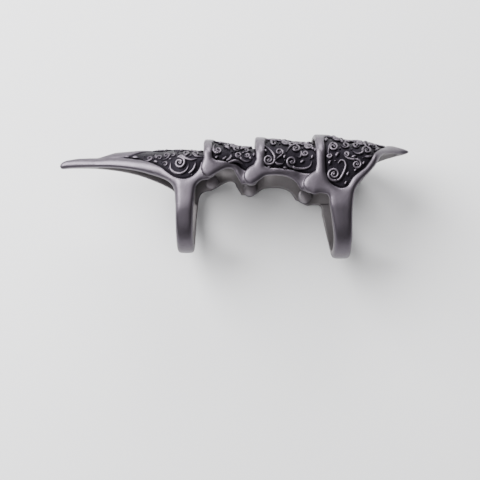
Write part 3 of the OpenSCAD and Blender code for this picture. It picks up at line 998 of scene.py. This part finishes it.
    def mark(self, mesh: bpy.types.Mesh) -> None:
        """Stores the marks on a mesh of this plate.

        Args:
            mesh: The mesh, in metres in the row's frame.
        """
        points = np.empty(len(mesh.vertices) * 3, np.float32)
        mesh.vertices.foreach_get("co", points)
        points = points.reshape(-1, 3) / MM - np.array([-ROW_MIDDLE[0], -ROW_MIDDLE[1], SIDE_OUT])
        for name, values in zip(("lift", "edge", "hollow"), self.marks(points)):
            stored(mesh, name, values.astype(np.float32))

    def sunk(self, spots: np.ndarray, deep: np.ndarray | float) -> np.ndarray:
        """Points of the full surface moved into the plate by that depth."""
        return spots - self.outer.normals(spots) * deep

    def holds(self, spots: np.ndarray) -> bool:
        """Tells whether a scroll lies on the plate.

        Args:
            spots: The scroll's points.

        Returns:
            True if it is clear of the plate's edge, and most of it is in the field.
        """
        x, y = spots[:, 0], spots[:, 1]
        in_field = (self.window.inside(x, y) > -FIELD_SLACK).mean()
        return bool(self.outline.inside(x, y).min() > EDGE_CLEAR and in_field > FIELD_SHARE)

    def scrolls(self, grower: Grower, metal: bpy.types.Material) -> bpy.types.Mesh:
        """The plate's scrollwork, on both sides.

        Args:
            grower: The tree that makes wire.
            metal: Its material.

        Returns:
            The mesh, with its marks.
        """
        strokes, beads = self.work
        laid: list[tuple[np.ndarray, np.ndarray | float]] = []
        for stroke in strokes:
            gauge = np.array(stroke.gauge) * BOLD
            spots = self.outer.spots(*np.array(stroke.points).T, stroke.seen)
            laid.append((self.sunk(spots, (FIELD_DROP - gauge * WIRE_PROUD)[:, None]), gauge))
        for bead in beads:
            spots = self.outer.spots(*np.array([bead.at]).T, bead.seen)
            laid.append((self.sunk(spots, FIELD_DROP - bead.radius * BEAD_PROUD), bead.radius))
        lines: list[tuple[np.ndarray, np.ndarray]] = []
        dots: list[tuple[np.ndarray, float]] = []
        for spots, radii in laid:
            if not self.holds(spots):
                continue
            for side in (1, -1) if np.abs(spots[:, 2]).max() > MIDDLE else (1,):
                turned = placed(spots * np.array([1, 1, side]))
                if len(spots) == 1:
                    dots.append((turned[0], radii * MM))
                else:
                    lines.append((turned, radii * MM))
        mesh = grower.grown(self.node + "_scrolls", lines, dots, metal)
        self.mark(mesh)
        return mesh

    def build(self, grower: Grower, metal: bpy.types.Material) -> None:
        """Makes the plate and its scrollwork, and puts both on its body.

        Args:
            grower: The tree that makes wire.
            metal: The plate's material.
        """
        points, quads = self.block.skin(self.metal())
        mesh = mesh_of(self.node + "_cast", placed(points), quads)
        self.mark(mesh)
        mesh.materials.append(metal)
        cast = piece(self.node + "_cast", mesh)
        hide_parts(self.node)
        scrolls = piece(self.node + "_scrolls", self.scrolls(grower, metal))
        for made in (cast, scrolls):
            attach(made, self.body)


class TipPlate(CastPlate):
    """Long claw with the small band."""

    def __init__(self) -> None:
        """Sets the claw's tables."""
        top = CROWNS[0]
        h = HINGES[0]
        outer: tuple[Row, ...] = (
            (-27.0, 7.4, 8.1, 0.5), (-25.4, 7.4, 8.85, 1.05), (-22.7, 7.2, 9.3, EAR_OUT * 0.14),
            (-18.3, 6.8, 9.45, EAR_OUT * 0.21), (-14.9, 6.2, top - 0.6, EAR_OUT * 0.325),
            (-10.4, SHOULDER - 2.2, top - 0.25, EAR_OUT * 0.48), (-6.3, SHOULDER - 2.2, top, EAR_OUT * 0.67),
            (-3.1, SHOULDER - 1.7, top, EAR_OUT * 0.86), (-1.2, SHOULDER - 1.1, top - 0.05, EAR_OUT - 0.15),
            (h[0] - 3.6, SHOULDER - 0.6, top - 0.3, EAR_OUT),
            (h[0] + 3.5, SHOULDER - 0.6, top - 0.7, EAR_OUT))
        inner = tuple((r[0], r[1], r[2] - WALL * 1.1, max(r[3] - WALL, 0.6) if r[0] < -1.5 else EAR_IN)
                      for r in outer if r[0] > -19.5)
        low_edge = curved([(-26.45, 7.55), (-25.9, 7.1), (-23.75, 7.25), (-19.3, 7.3), (-15.1, 7.05),
                           (-12, 6.6), (-9.4, 6.0), (-6.3, 4.95), (-3.8, 3.85), (-2.6, 2.8), (-2.05, 1.6)])
        band_front = curved([(-2.05, 1.6), (-1.9, 0), (-1.8, -1.5), (-1.78, -3), (-1.8, -7.5), (-1.85, -13)])
        band_back = curved([(1.75, -13), (1.65, -7.5), (1.75, -3), (1.9, -1), (2.1, 0.8), (2.35, 2.2),
                            (2.9, 3.05), (h[0] - 1.3, h[1] - 2.1)])
        outline = low_edge[:-1] + band_front + band_back + around(h, (0, -1.9), (1.9, 0), (0.5, 2))
        outline += [(h[0] + 0.4, FAR), (-26.45, FAR)]
        window = curved([(-18, 9.75), (-15, 9.35), (-12, 8.95), (-8.1, 8.1), (-5.2, 6.75), (-3.5, 5.4),
                         (-2.1, 4.4), (-0.4, 3.85), (0.9, 4.05), (2, 4.7), (2.9, 5.8), (3.4, 7.2)])
        window += [(8.5, 8.5), (9, FAR), (-18, FAR)]
        ridge = curved([(-19.5, 0.1), (-18.4, 1.2), (-16.6, 2.1), (-14.6, 2.8), (-12, 3.0), (-10, 2.5),
                        (-8.6, 1.5), (-6.9, 0.2)]) + [(-6.8, -1), (-19.5, -1)]
        strokes = [
            volute(-1.05, 7.1, 1.35, 100, -1.5, 0.24,
                   tail=[(2.5, 8.0), (1.4, 7.65), (0.3, 8.05), (-0.5, 8.6)]),
            sweep([(-2.9, 7.3), (-2.95, 6.0), (-2.0, 5.1), (-0.7, 4.9), (0.4, 5.5), (0.85, 6.6),
                  (0.6, 7.2)], 0.23),
            sweep([(0.9, 4.9), (1.8, 5.6), (2.2, 6.6), (2.2, 7.3)], 0.22),
            volute(-7.4, 8.7, 0.55, 0, 1.15, 0.17, tail=[(-9.2, 8.85), (-8.4, 8.4), (-7.6, 8.2)]),
            volute(-5.35, 8.75, 0.62, 180, -1.2, 0.18, tail=[(-6.6, 8.3), (-6.4, 8.9), (-6.2, 9.4)]),
            volute(-3.9, 9.2, 0.6, 0, 1.2, 0.18, tail=[(-4.9, 8.1), (-4.2, 8.2), (-3.5, 8.6)]),
            volute(-2.5, 9.1, 0.55, 180, -1.1, 0.18), volute(-4.1, 7.1, 0.62, 200, -1.2, 0.19),
            volute(0.2, 9.4, 0.6, 0, 1.2, 0.19, tail=[(-1.4, 9.6), (-0.8, 9.0), (0.1, 8.8)]),
            volute(2.3, 9.3, 0.6, 180, -1.2, 0.19, tail=[(3.6, 8.4), (3.0, 8.5), (2.2, 8.7)]),
            leaf(-10.4, 9.15, 1.7, -8, 0.12, 0.2), leaf(-12.2, 9.4, 1.4, -6, 0.1, 0.17),
            leaf(-6.1, 7.75, 1.2, -22, 0.12, 0.2), leaf(-3.2, 5.9, 0.9, -55, 0.1, 0.17),
            leaf(-3.0, 8.1, 0.9, 20, 0.1, 0.17),
        ]
        beads = beads_at(
            (1.2, 8.8, 0.24), (-6.5, 9.7, 0.2), (-1.05, 7.1, 0.3), (-1.5, 9.9, 0.22), (-8.5, 9.4, 0.17),
            (-5.0, 7.7, 0.17), (1.5, 4.6, 0.18))
        rows = (running(-5.4, 4.4, 2.0, 0.82, 1, 0.2), running(-0.3, 4.4, 5.6, 0.95, -1, 0.2))
        wires, dots = crown_work(rows, ((3.3, 0.28), (-0.6, 0.28), (-4.4, 0.26)), (-2.5, 1.4), 1.9, 0.27)
        super().__init__(
            "tip_plate", "tip", Arch(outer), Arch(inner), Outline(tuple(outline)), Outline(tuple(window)),
            Outline(tuple(ridge)), Block((-27.3, 8.0), (-11.2, 12.0), 11.2), (strokes + wires, beads + dots),
            ear=0, band=CLAW_R + BAND_T, bore=(CLAW_R, -2.3, h[0] + 3), hollow=(-18.3, 9))


class FrontPlate(CastPlate):
    """Short plate over the first knuckle."""

    def __init__(self) -> None:
        """Sets the short plate's tables."""
        top = CROWNS[1]
        a, b = HINGES[0], HINGES[1]
        outer: tuple[Row, ...] = (
            (a[0] - 2.6, SHOULDER, top, LOBE_OUT), (a[0] + 0.7, SHOULDER, top, LOBE_OUT),
            (a[0] + 2.8, SHOULDER - 0.3, top - 0.5, LOBE_OUT - 0.15),
            (b[0] - 2.6, SHOULDER - 0.8, top - 1.1, EAR_OUT + 0.3),
            (b[0] - 1.9, SHOULDER - 1, top - 1.2, EAR_OUT),
            (b[0] + 2.5, SHOULDER - 1, top - 1.5, EAR_OUT))
        inner: tuple[Row, ...] = (
            (a[0] - 3, SHOULDER, top - WALL, LOBE_IN),
            (a[0] + 2.5, SHOULDER - 0.1, top - WALL - 0.3, LOBE_IN),
            (a[0] + 4.3, SHOULDER - 0.5, top - WALL - 0.8, EAR_IN + 0.2),
            (b[0] - 2.2, SHOULDER - 1, top - WALL - 1.2, EAR_IN),
            (b[0] + 3, SHOULDER - 1, top - WALL - 1.5, EAR_IN))
        mid = between(a, b, 0.45)
        outline = [(a[0] - 1.15, FAR), (a[0] - 1.15, a[1] + 3)]
        outline += curved(around(a, (-1.1, 2.2), (-1.5, 1), (-1.62, 0), (-1.1, -1.2), (0, -1.62), (1.3, -1.0))
                          + around(mid, (-1.3, 0.4), (0, 0.9), (1.1, 0.7))
                          + around(b, (-3, 0.6), (-2.35, -0.5), (-1.9, -1.3)))
        outline += around(b, (0, -1.3), (1.6, 0)) + [(b[0] + 1.7, FAR)]
        window = [(a[0] + 0.65, FAR), (a[0] + 0.65, a[1] + 3)]
        window += curved(around(a, (0.8, 2.25), (1.5, 1.85)) + around(mid, (-0.6, 2.4), (0.5, 2.1))
                         + around(b, (-2.8, 2.6), (-1.7, 1.8), (-0.9, 1.5), (-0.2, 2.2)))
        window += [(b[0] + 3, b[1] + 3.6), (b[0] + 3, FAR)]
        ridge = ((2, -1), (2, 10), (5.7, 8.8), (6.2, 6.0), (6.5, 3.0), (6.7, -1))
        strokes = [
            volute(6.75, 9.6, 0.8, 200, 1.35, 0.2, tail=[(6.3, 11.4), (5.95, 10.7), (5.85, 10.0)]),
            sweep([(7.7, 7.5), (8.3, 7.9), (8.6, 8.7)], 0.2),
            sweep([(8.5, 7.3), (9.2, 7.7), (9.4, 8.4), (9.1, 9.1)], 0.25),
            leaf(8.6, 10.3, 1.7, -35, 0.15, 0.26), leaf(6.6, 7.9, 0.9, 30, 0.1, 0.18),
            sweep([(8.9, 6.9), (9.8, 7.25), (10.7, 7.25), (11.6, 6.75), (12.3, 6.1)], 0.25),
            volute(10.95, 8.75, 0.72, -60, -1.35, 0.2,
                   tail=[(13.2, 7.5), (12.5, 7.25), (11.8, 7.5), (11.4, 7.9)]),
            volute(12.55, 8.8, 0.6, 180, 1.25, 0.19), volute(10.4, 10.35, 0.65, 0, -1.25, 0.19),
            volute(12.4, 10.1, 0.6, 180, 1.2, 0.19), leaf(13.1, 8.0, 1.1, -65, 0.12, 0.2),
            volute(8.3, 11.3, 0.65, 180, -1.2, 0.19), leaf(11.3, 11.2, 1.4, -10, 0.15, 0.2),
            leaf(9.5, 10.9, 0.9, 60, 0.1, 0.18), leaf(14.0, 9.0, 1.1, 70, 0.1, 0.19),
        ]
        beads = beads_at(
            (6.75, 9.6, 0.22), (9.7, 9.5, 0.2), (11.75, 9.4, 0.26), (13.3, 9.7, 0.18), (10.2, 9.6, 0.18),
            (7.5, 9.9, 0.17), (6.3, 8.7, 0.18))
        rows = (running(7.9, 14.4, 2.6, 1.1, 1), running(7.7, 14.4, 6.9, 1.05, -1, 0.21))
        wires, dots = crown_work(rows, ((6.4, 0.28), (9.7, 0.3), (13.0, 0.28)), (8.0, 11.4), 1.9, 0.28)
        super().__init__(
            "front_plate", "front", Arch(outer), Arch(inner), Outline(tuple(outline)), Outline(tuple(window)),
            Outline(ridge), Block((2.6, 15.9), (1.6, 13.8)), (strokes + wires, beads + dots), lobe=0, ear=1)


class RearPlate(CastPlate):
    """Longer plate over the second knuckle."""

    def __init__(self) -> None:
        """Sets the longer plate's tables."""
        top = CROWNS[2]
        a, b = HINGES[1], HINGES[2]
        outer: tuple[Row, ...] = (
            (a[0] - 2.6, SHOULDER - 0.3, top, LOBE_OUT), (a[0] + 2.7, SHOULDER - 0.3, top, LOBE_OUT),
            (a[0] + 5, SHOULDER - 0.5, top - 0.3, LOBE_OUT - 0.2),
            (b[0] - 3, SHOULDER - 1, top - 0.65, EAR_OUT + 0.3),
            (b[0] - 2.1, SHOULDER - 1.2, top - 0.8, EAR_OUT),
            (b[0] + 3, SHOULDER - 1.2, top - 1.1, EAR_OUT))
        inner: tuple[Row, ...] = (
            (a[0] - 3, SHOULDER - 0.4, CROWNS[1] - 0.8, LOBE_IN),
            (a[0] + 2.8, SHOULDER - 0.4, CROWNS[1] - 1, LOBE_IN),
            (a[0] + 4.8, SHOULDER - 0.7, top - WALL - 0.3, EAR_IN + 0.3),
            (b[0] - 2.4, SHOULDER - 1.2, top - WALL - 0.8, EAR_IN),
            (b[0] + 3.5, SHOULDER - 1.2, top - WALL - 1.1, EAR_IN))
        mid = between(a, b, 0.45)
        outline = [(a[0] + 0.85, FAR), (a[0] + 0.85, a[1] + 3.4)]
        outline += curved(around(a, (0.4, 2.5), (-0.6, 1.9), (-1.35, 1), (-1.55, 0), (-1.1, -1.1), (0, -1.55),
                                 (1.3, -0.9), (2.1, -0.3))
                          + around(mid, (-2.2, 0.95), (0, 1.1), (1.8, 0.85))
                          + around(b, (-3.5, 1.1), (-2.7, 0.3), (-2, -0.9)))
        outline += around(b, (0, -1.5), (1.8, 0)) + [(b[0] + 1.9, FAR)]
        window = [(a[0] + 2.8, FAR), (a[0] + 2.8, a[1] + 3)]
        window += curved(around(a, (2.75, 2.3), (3.6, 1.95)) + around(mid, (0.4, 2.5), (3, 2.25))
                         + around(b, (-1.5, 2.55), (-0.3, 2.4)))
        window += [(b[0] + 3, b[1] + 3), (b[0] + 3, FAR)]
        ridge = ((12, -1), (12, 10), (16.2, 8.8), (16.6, 6.0), (16.9, 3.0), (17.1, -1))
        strokes = [
            volute(16.85, 7.45, 1.2, 15, -1.55, 0.21,
                   tail=[(15.95, 10.8), (16.8, 10.0), (17.6, 9.0), (18.05, 8.1)]),
            sweep([(18.0, 7.0), (18.7, 6.55), (19.5, 6.6), (20.0, 7.1)], 0.2),
            volute(18.95, 9.2, 0.85, -60, 1.35, 0.2, tail=[(18.2, 7.4), (18.7, 7.9), (19.2, 8.3)]),
            volute(21.5, 7.2, 1.2, -75, -1.3, 0.22,
                   tail=[(25.4, 7.4), (25.1, 6.4), (24.2, 5.85), (23.0, 5.75), (22.1, 5.85)]),
            volute(22.3, 10.3, 0.95, 120, -1.35, 0.21, tail=[(20.4, 9.2), (20.8, 10.1), (21.4, 10.9)]),
            volute(24.1, 9.2, 0.75, 160, 1.3, 0.19, tail=[(22.6, 8.4), (23.0, 8.2), (23.3, 8.6)]),
            volute(17.9, 11.4, 0.75, 0, 1.25, 0.19), volute(20.2, 11.6, 0.6, 180, -1.2, 0.18),
            volute(24.9, 11.0, 0.6, 0, -1.2, 0.18), leaf(23.6, 7.2, 1.2, 30, 0.12, 0.2),
            leaf(25.6, 8.4, 1.1, 75, 0.1, 0.2), leaf(20.2, 5.95, 1.1, -5, -0.1, 0.18),
            leaf(16.2, 9.4, 0.9, -60, 0.1, 0.17), leaf(17.0, 6.0, 1.0, 0, -0.1, 0.16),
            leaf(20.1, 8.2, 1.0, 70, 0.1, 0.2), leaf(26.3, 10.2, 1.2, 80, 0.1, 0.2),
        ]
        beads = beads_at(
            (16.85, 7.45, 0.26), (18.95, 9.2, 0.22), (21.5, 7.2, 0.27), (22.3, 10.3, 0.26),
            (24.1, 9.2, 0.2), (20.1, 7.4, 0.2), (16.6, 11.9, 0.2), (19.0, 12.2, 0.22), (21.6, 12.0, 0.22),
            (23.6, 11.6, 0.2), (25.1, 7.9, 0.17))
        rows = (running(18.3, 26.4, 2.7, 1.2, 1), running(18.0, 26.4, 7.1, 1.1, -1, 0.21))
        wires, dots = crown_work(rows, ((17.2, 0.3), (21.0, 0.3), (24.8, 0.28)), (19.1, 22.9), 2.1, 0.29)
        super().__init__(
            "rear_plate", "rear", Arch(outer), Arch(inner), Outline(tuple(outline)), Outline(tuple(window)),
            Outline(ridge), Block((11.2, 27.8), (0.2, 14.3)), (strokes + wires, beads + dots), lobe=1, ear=2)


class BasePlate(CastPlate):
    """Tallest plate with the short tail and the large band."""

    def __init__(self) -> None:
        """Sets the tallest plate's tables."""
        top, c, r = CROWNS[3], CUFF_X, CUFF_R
        a = HINGES[2]
        outer: tuple[Row, ...] = (
            (a[0] - 2.6, SHOULDER - 0.4, top - 0.2, LOBE_OUT), (a[0] + 2.3, SHOULDER - 0.4, top, LOBE_OUT),
            (a[0] + 5.2, SHOULDER - 0.4, top - 0.2, LOBE_OUT), (c + 0.5, SHOULDER - 0.6, r + 3.1, LOBE_OUT),
            (c + 3, SHOULDER - 1, r + 3.05, LOBE_OUT - 0.1),
            (c + 5.9, SHOULDER - 1.8, r + 2.6, LOBE_OUT - 0.5),
            (c + 8.2, SHOULDER - 2.8, r + 2, LOBE_OUT - 2.1),
            (c + 10.6, SHOULDER - 3.6, r + 2.1, LOBE_OUT * 0.49),
            (44.6, SHOULDER - 3.6, 11.6, LOBE_OUT * 0.24), (46.8, SHOULDER - 3.4, 11.0, 0.9))
        inner: tuple[Row, ...] = (
            (a[0] - 3, SHOULDER - 0.5, CROWNS[2] - 0.5, LOBE_IN),
            (a[0] + 3, SHOULDER - 0.5, CROWNS[2] - 0.7, LOBE_IN),
            (c - 1.5, SHOULDER - 0.6, r + 1.6, r + 0.35), (c + 3, SHOULDER - 1.1, r + 1.1, r + 0.25),
            (c + 6.3, SHOULDER - 2, r + 0.4, r - 0.3), (c + 8.5, SHOULDER - 2.9, r + 0.2, r - 2),
            (c + 10.6, SHOULDER - 3.4, r + 0.6, 4.0), (c + 12, SHOULDER - 3.4, r + 0.6, 2.0))
        outline = [(a[0] + 1.0, FAR), (a[0] + 1.0, a[1] + 3.9)]
        outline += curved(around(a, (0.8, 2.8), (-0.2, 2.2), (-1.1, 1.4), (-1.6, 0.2), (-1.2, -1),
                                 (-0.2, -1.6), (0.6, -1.95), (2, -1.75))
                          + around((c, 0), (-3.5, 0.3), (-3.2, -1.7), (-2.85, -3.5), (-2.1, -8.5),
                                   (-2.0, -13.5)))
        outline += curved(around((c, 0), (1.75, -13.5), (1.55, -8.5), (1.3, -3.5), (1.4, -1), (1.6, 0.6),
                                 (2, 1.9), (2.9, 3.2), (4.4, 4.7), (6, 6.6), (7.2, 8.4), (8.2, 9.25),
                                 (9.8, 9.7))
                          + [(45.0, 10.15), (46.5, 10.55)])
        outline += [(46.5, FAR)]
        window = [(a[0] + 2.9, FAR), (a[0] + 2.9, a[1] + 4.5)]
        window += curved(around(a, (3, 2.4), (3.8, 0.6))
                         + around((c, 0), (-1.8, 2.1), (-0.8, 1.85), (0.3, 2.35), (1.3, 3.9), (2.4, 4.9),
                                  (3.8, 5.95), (4.8, 7.3), (6, r - 0.6), (8.6, r + 1.25)))
        window += [(c + 8.8, FAR)]
        ridge = [(25.0, 9.6), (27.8, 9.2)] + curved([(28.1, 8.4), (28.6, 6.8), (29.6, 5.3), (30.4, 3.4),
                                                     (31.3, 1.6), (32.9, 0.2)]) + [(33.0, -1), (25.0, -1)]
        strokes = [
            volute(29.7, 4.55, 1.4, -60, -1.6, 0.22,
                   tail=[(30.5, 6.7), (31.0, 7.3), (31.75, 7.1), (32.0, 6.1), (31.5, 4.7), (30.9, 3.7)]),
            volute(34.2, 6.5, 1.05, 110, -1.5, 0.2, tail=[(31.6, 8.7), (32.2, 7.9), (32.9, 7.6)]),
            volute(32.2, 8.7, 0.62, 220, 1.25, 0.2), volute(28.75, 8.2, 0.6, 90, -1.2, 0.2),
            volute(36.5, 9.75, 1.0, 200, -1.4, 0.2, tail=[(33.5, 9.5), (34.2, 8.9), (35.1, 8.9)]),
            sweep([(35.9, 8.2), (36.9, 8.2), (37.7, 8.8)], 0.2),
            sweep([(38.3, 9.7), (38.9, 10.4), (39.8, 10.8)], 0.2), leaf(29.0, 6.8, 1.2, 60, 0.2, 0.22),
            leaf(30.5, 8.5, 1.5, 50, 0.2, 0.23), leaf(33.7, 8.3, 1.3, 20, -0.15, 0.2),
            volute(29.6, 10.3, 0.95, 90, -1.35, 0.2, tail=[(28.7, 8.3), (28.6, 9.2), (28.9, 10.6)]),
            volute(32.2, 10.9, 0.85, 180, 1.3, 0.2), volute(34.3, 11.0, 0.75, 0, -1.3, 0.19),
            volute(38.3, 11.0, 0.6, 180, 1.2, 0.18), leaf(36.6, 11.4, 1.2, 0, 0.12, 0.2),
            leaf(29.0, 2.9, 1.0, 20, 0.1, 0.18), leaf(31.9, 2.9, 1.0, 60, -0.1, 0.18),
            leaf(32.5, 4.6, 1.1, 60, 0.12, 0.19), leaf(34.0, 5.3, 0.9, 35, 0.1, 0.17),
            leaf(35.7, 6.8, 1.0, 60, 0.1, 0.18), leaf(28.5, 12.2, 1.2, 60, 0.12, 0.22),
        ]
        beads = beads_at(
            (29.7, 4.55, 0.28), (34.2, 6.5, 0.24), (28.75, 8.2, 0.2), (36.5, 9.75, 0.22),
            (31.0, 10.0, 0.22), (33.3, 9.9, 0.2), (29.9, 7.2, 0.18), (35.5, 7.9, 0.18), (30.9, 12.3, 0.24),
            (33.3, 12.0, 0.24), (35.6, 11.9, 0.22), (37.2, 10.6, 0.2))
        rows = (running(32.4, 40.9, 2.8, 1.2, -1), running(30.6, 39.2, 7.2, 1.15, 1, 0.21))
        wires, dots = crown_work(rows, ((34.2, 0.3), (37.6, 0.28), (40.9, 0.26)), (35.9, 39.3), 1.9, 0.28)
        super().__init__(
            "base_plate", "base", Arch(outer), Arch(inner), Outline(tuple(outline)), Outline(tuple(window)),
            Outline(tuple(ridge)), Block((22.9, 46.9), (-12.2, 14.8), step=0.15),
            (strokes + wires, beads + dots), lobe=2, band=r + BAND_T, band_x=c, bore=(r, c - 3.6, 47.2),
            hollow=(a[0] - 4, c + 11.4))


@dataclass(frozen=True)
class Rivet:
    """Hinge rivet with a domed head inside the ear, in drawing millimetres."""

    name: str
    centre: Point
    body: str
    side: int
    head_r: float = 1.5
    head_in: float = 8.85
    head_out: float = 9.3
    head_worn: float = 0.04
    dome: float = 0.4
    shank_r: float = 0.55
    crease: float = 0.01
    end: float = 11.4
    end_worn: Point = (0.05, 0.06)

    def build(self, grower: Grower, metal: bpy.types.Material) -> None:
        """Makes the rivet and puts it on its plate's body.

        Args:
            grower: The tree that makes wire.
            metal: The rivet's material.
        """
        rows = [(self.head_in + self.dome * (1 - math.cos(t)), self.head_r * math.sin(t))
                for t in np.linspace(0.04, math.pi / 2, 9)]
        rows += [(self.head_out - self.crease, self.head_r), (self.head_out, self.head_r - self.head_worn),
                 (self.head_out + self.crease / 2, self.shank_r), (self.end - self.end_worn[0], self.shank_r),
                 (self.end, self.shank_r - self.end_worn[1])]
        line = np.array([[self.centre[0], self.centre[1], self.side * z] for z, _ in rows])
        radii = np.array([r for _, r in rows])
        mesh = grower.grown(self.name + "_domed", [(placed(line), radii * MM)], [], metal, RIVET_SIDES)
        # painted light: the rivets lie in shade inside the ears, so they are given a near-full lift
        for mark, value in (("lift", 0.95), ("edge", 0.0), ("hollow", 0.0)):
            stored(mesh, mark, np.full(len(mesh.vertices), value, np.float32))
        made = piece(self.name + "_domed", mesh)
        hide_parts(self.name)
        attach(made, self.body)


@dataclass(frozen=True)
class Softbox:
    """One soft lamp: where it hangs, its width and its power."""

    name: str
    place: Place
    size: float
    watts: float

    def hang(self, target: Vector) -> None:
        """Makes the lamp.

        Args:
            target: The point that it faces.
        """
        lamp = bpy.data.lights.new(self.name, "AREA")
        lamp.shape = "DISK"
        lamp.size = self.size
        lamp.energy = self.watts
        made = bpy.data.objects.new(self.name, lamp)
        bpy.context.scene.collection.objects.link(made)
        made.location = self.place
        made.rotation_euler = (target - Vector(self.place)).to_track_quat("-Z", "Y").to_euler()


@dataclass(frozen=True)
class Studio:
    """Floor, lamps and camera. The camera's places are in millimetres, all else is in metres."""

    lens: float = 80.8
    eye: Place = (1.05, -25.3, 234.35)
    aim: Place = (1.05, -8.9, 11.75)
    near: float = 0.01
    far: float = 20
    floor_half: float = 1.6
    sky: Colour = (0.8, 0.8, 0.82, 1)
    glow: float = 0.23
    lit: Place = (0, 0, 0.01)
    lamps: tuple[Softbox, ...] = field(default_factory=lambda: (
        Softbox("main_box", (-0.26, 0.17, 0.28), 0.36, 6.8),
        Softbox("top_box", (-0.06, 0.10, 0.55), 0.36, 1.0),
        Softbox("front_box", (-0.10, -0.30, 0.36), 0.40, 0.55),
        Softbox("back_box", (0.04, 0.42, 0.16), 0.26, 2.8)))

    def build(self) -> None:
        """Makes the floor, the lamps and the camera."""
        self.lay_floor()
        self.light()
        self.set_camera()

    def lay_floor(self) -> None:
        """Lays the floor that the ring rests on."""
        half = self.floor_half
        corners = np.array([[-half, -half, 0], [half, -half, 0], [half, half, 0], [-half, half, 0]])
        mesh = mesh_of("floor", corners, np.array([[0, 1, 2, 3]]))
        mesh.materials.append(PaleFloor().material())
        floor = bpy.data.objects.new("floor", mesh)
        bpy.context.scene.collection.objects.link(floor)

    def light(self) -> None:
        """Sets the dim sky and hangs the lamps."""
        world = bpy.data.worlds.new("studio")
        bpy.context.scene.world = world
        world.use_nodes = True
        background = world.node_tree.nodes["Background"]
        background.inputs["Color"].default_value = self.sky
        background.inputs["Strength"].default_value = self.glow
        for lamp in self.lamps:
            lamp.hang(Vector(self.lit))

    def set_camera(self) -> None:
        """Sets the camera, with the finger's direction level in the picture."""
        data = bpy.data.cameras.new("camera")
        data.lens = self.lens
        data.sensor_width = 36
        data.clip_start, data.clip_end = self.near, self.far
        camera = bpy.data.objects.new("camera", data)
        bpy.context.scene.collection.objects.link(camera)
        eye, aim = (Vector(v) * MM for v in (self.eye, self.aim))
        back = (eye - aim).normalized()
        right = Vector((0, 1, 0)).cross(back).normalized()
        up = back.cross(right)
        turn = Matrix((right, up, back)).transposed().to_4x4()
        camera.matrix_world = Matrix.Translation(eye) @ turn
        bpy.context.scene.camera = camera


def main() -> None:
    """Builds the ring over its frame."""
    logging.basicConfig(level=logging.INFO, format="%(message)s")
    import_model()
    Studio().build()
    grower = Grower()
    metal = DarkSteel().material()
    # painted light: the rivets get a lighter colour, for they lie in shade inside the ears
    painted_lift_inside = DarkSteel("rivet_steel", bright=(0.26, 0.24, 0.26, 1)).material()
    for plate in (TipPlate(), FrontPlate(), RearPlate(), BasePlate()):
        plate.build(grower, metal)
    for number, (centre, body) in enumerate(zip(HINGES, ("front", "rear", "base")), 1):
        Rivet(f"near_rivet_{number}", centre, body, 1).build(grower, painted_lift_inside)
        Rivet(f"far_rivet_{number}", centre, body, -1).build(grower, painted_lift_inside)


if __name__ == "__main__":
    main()
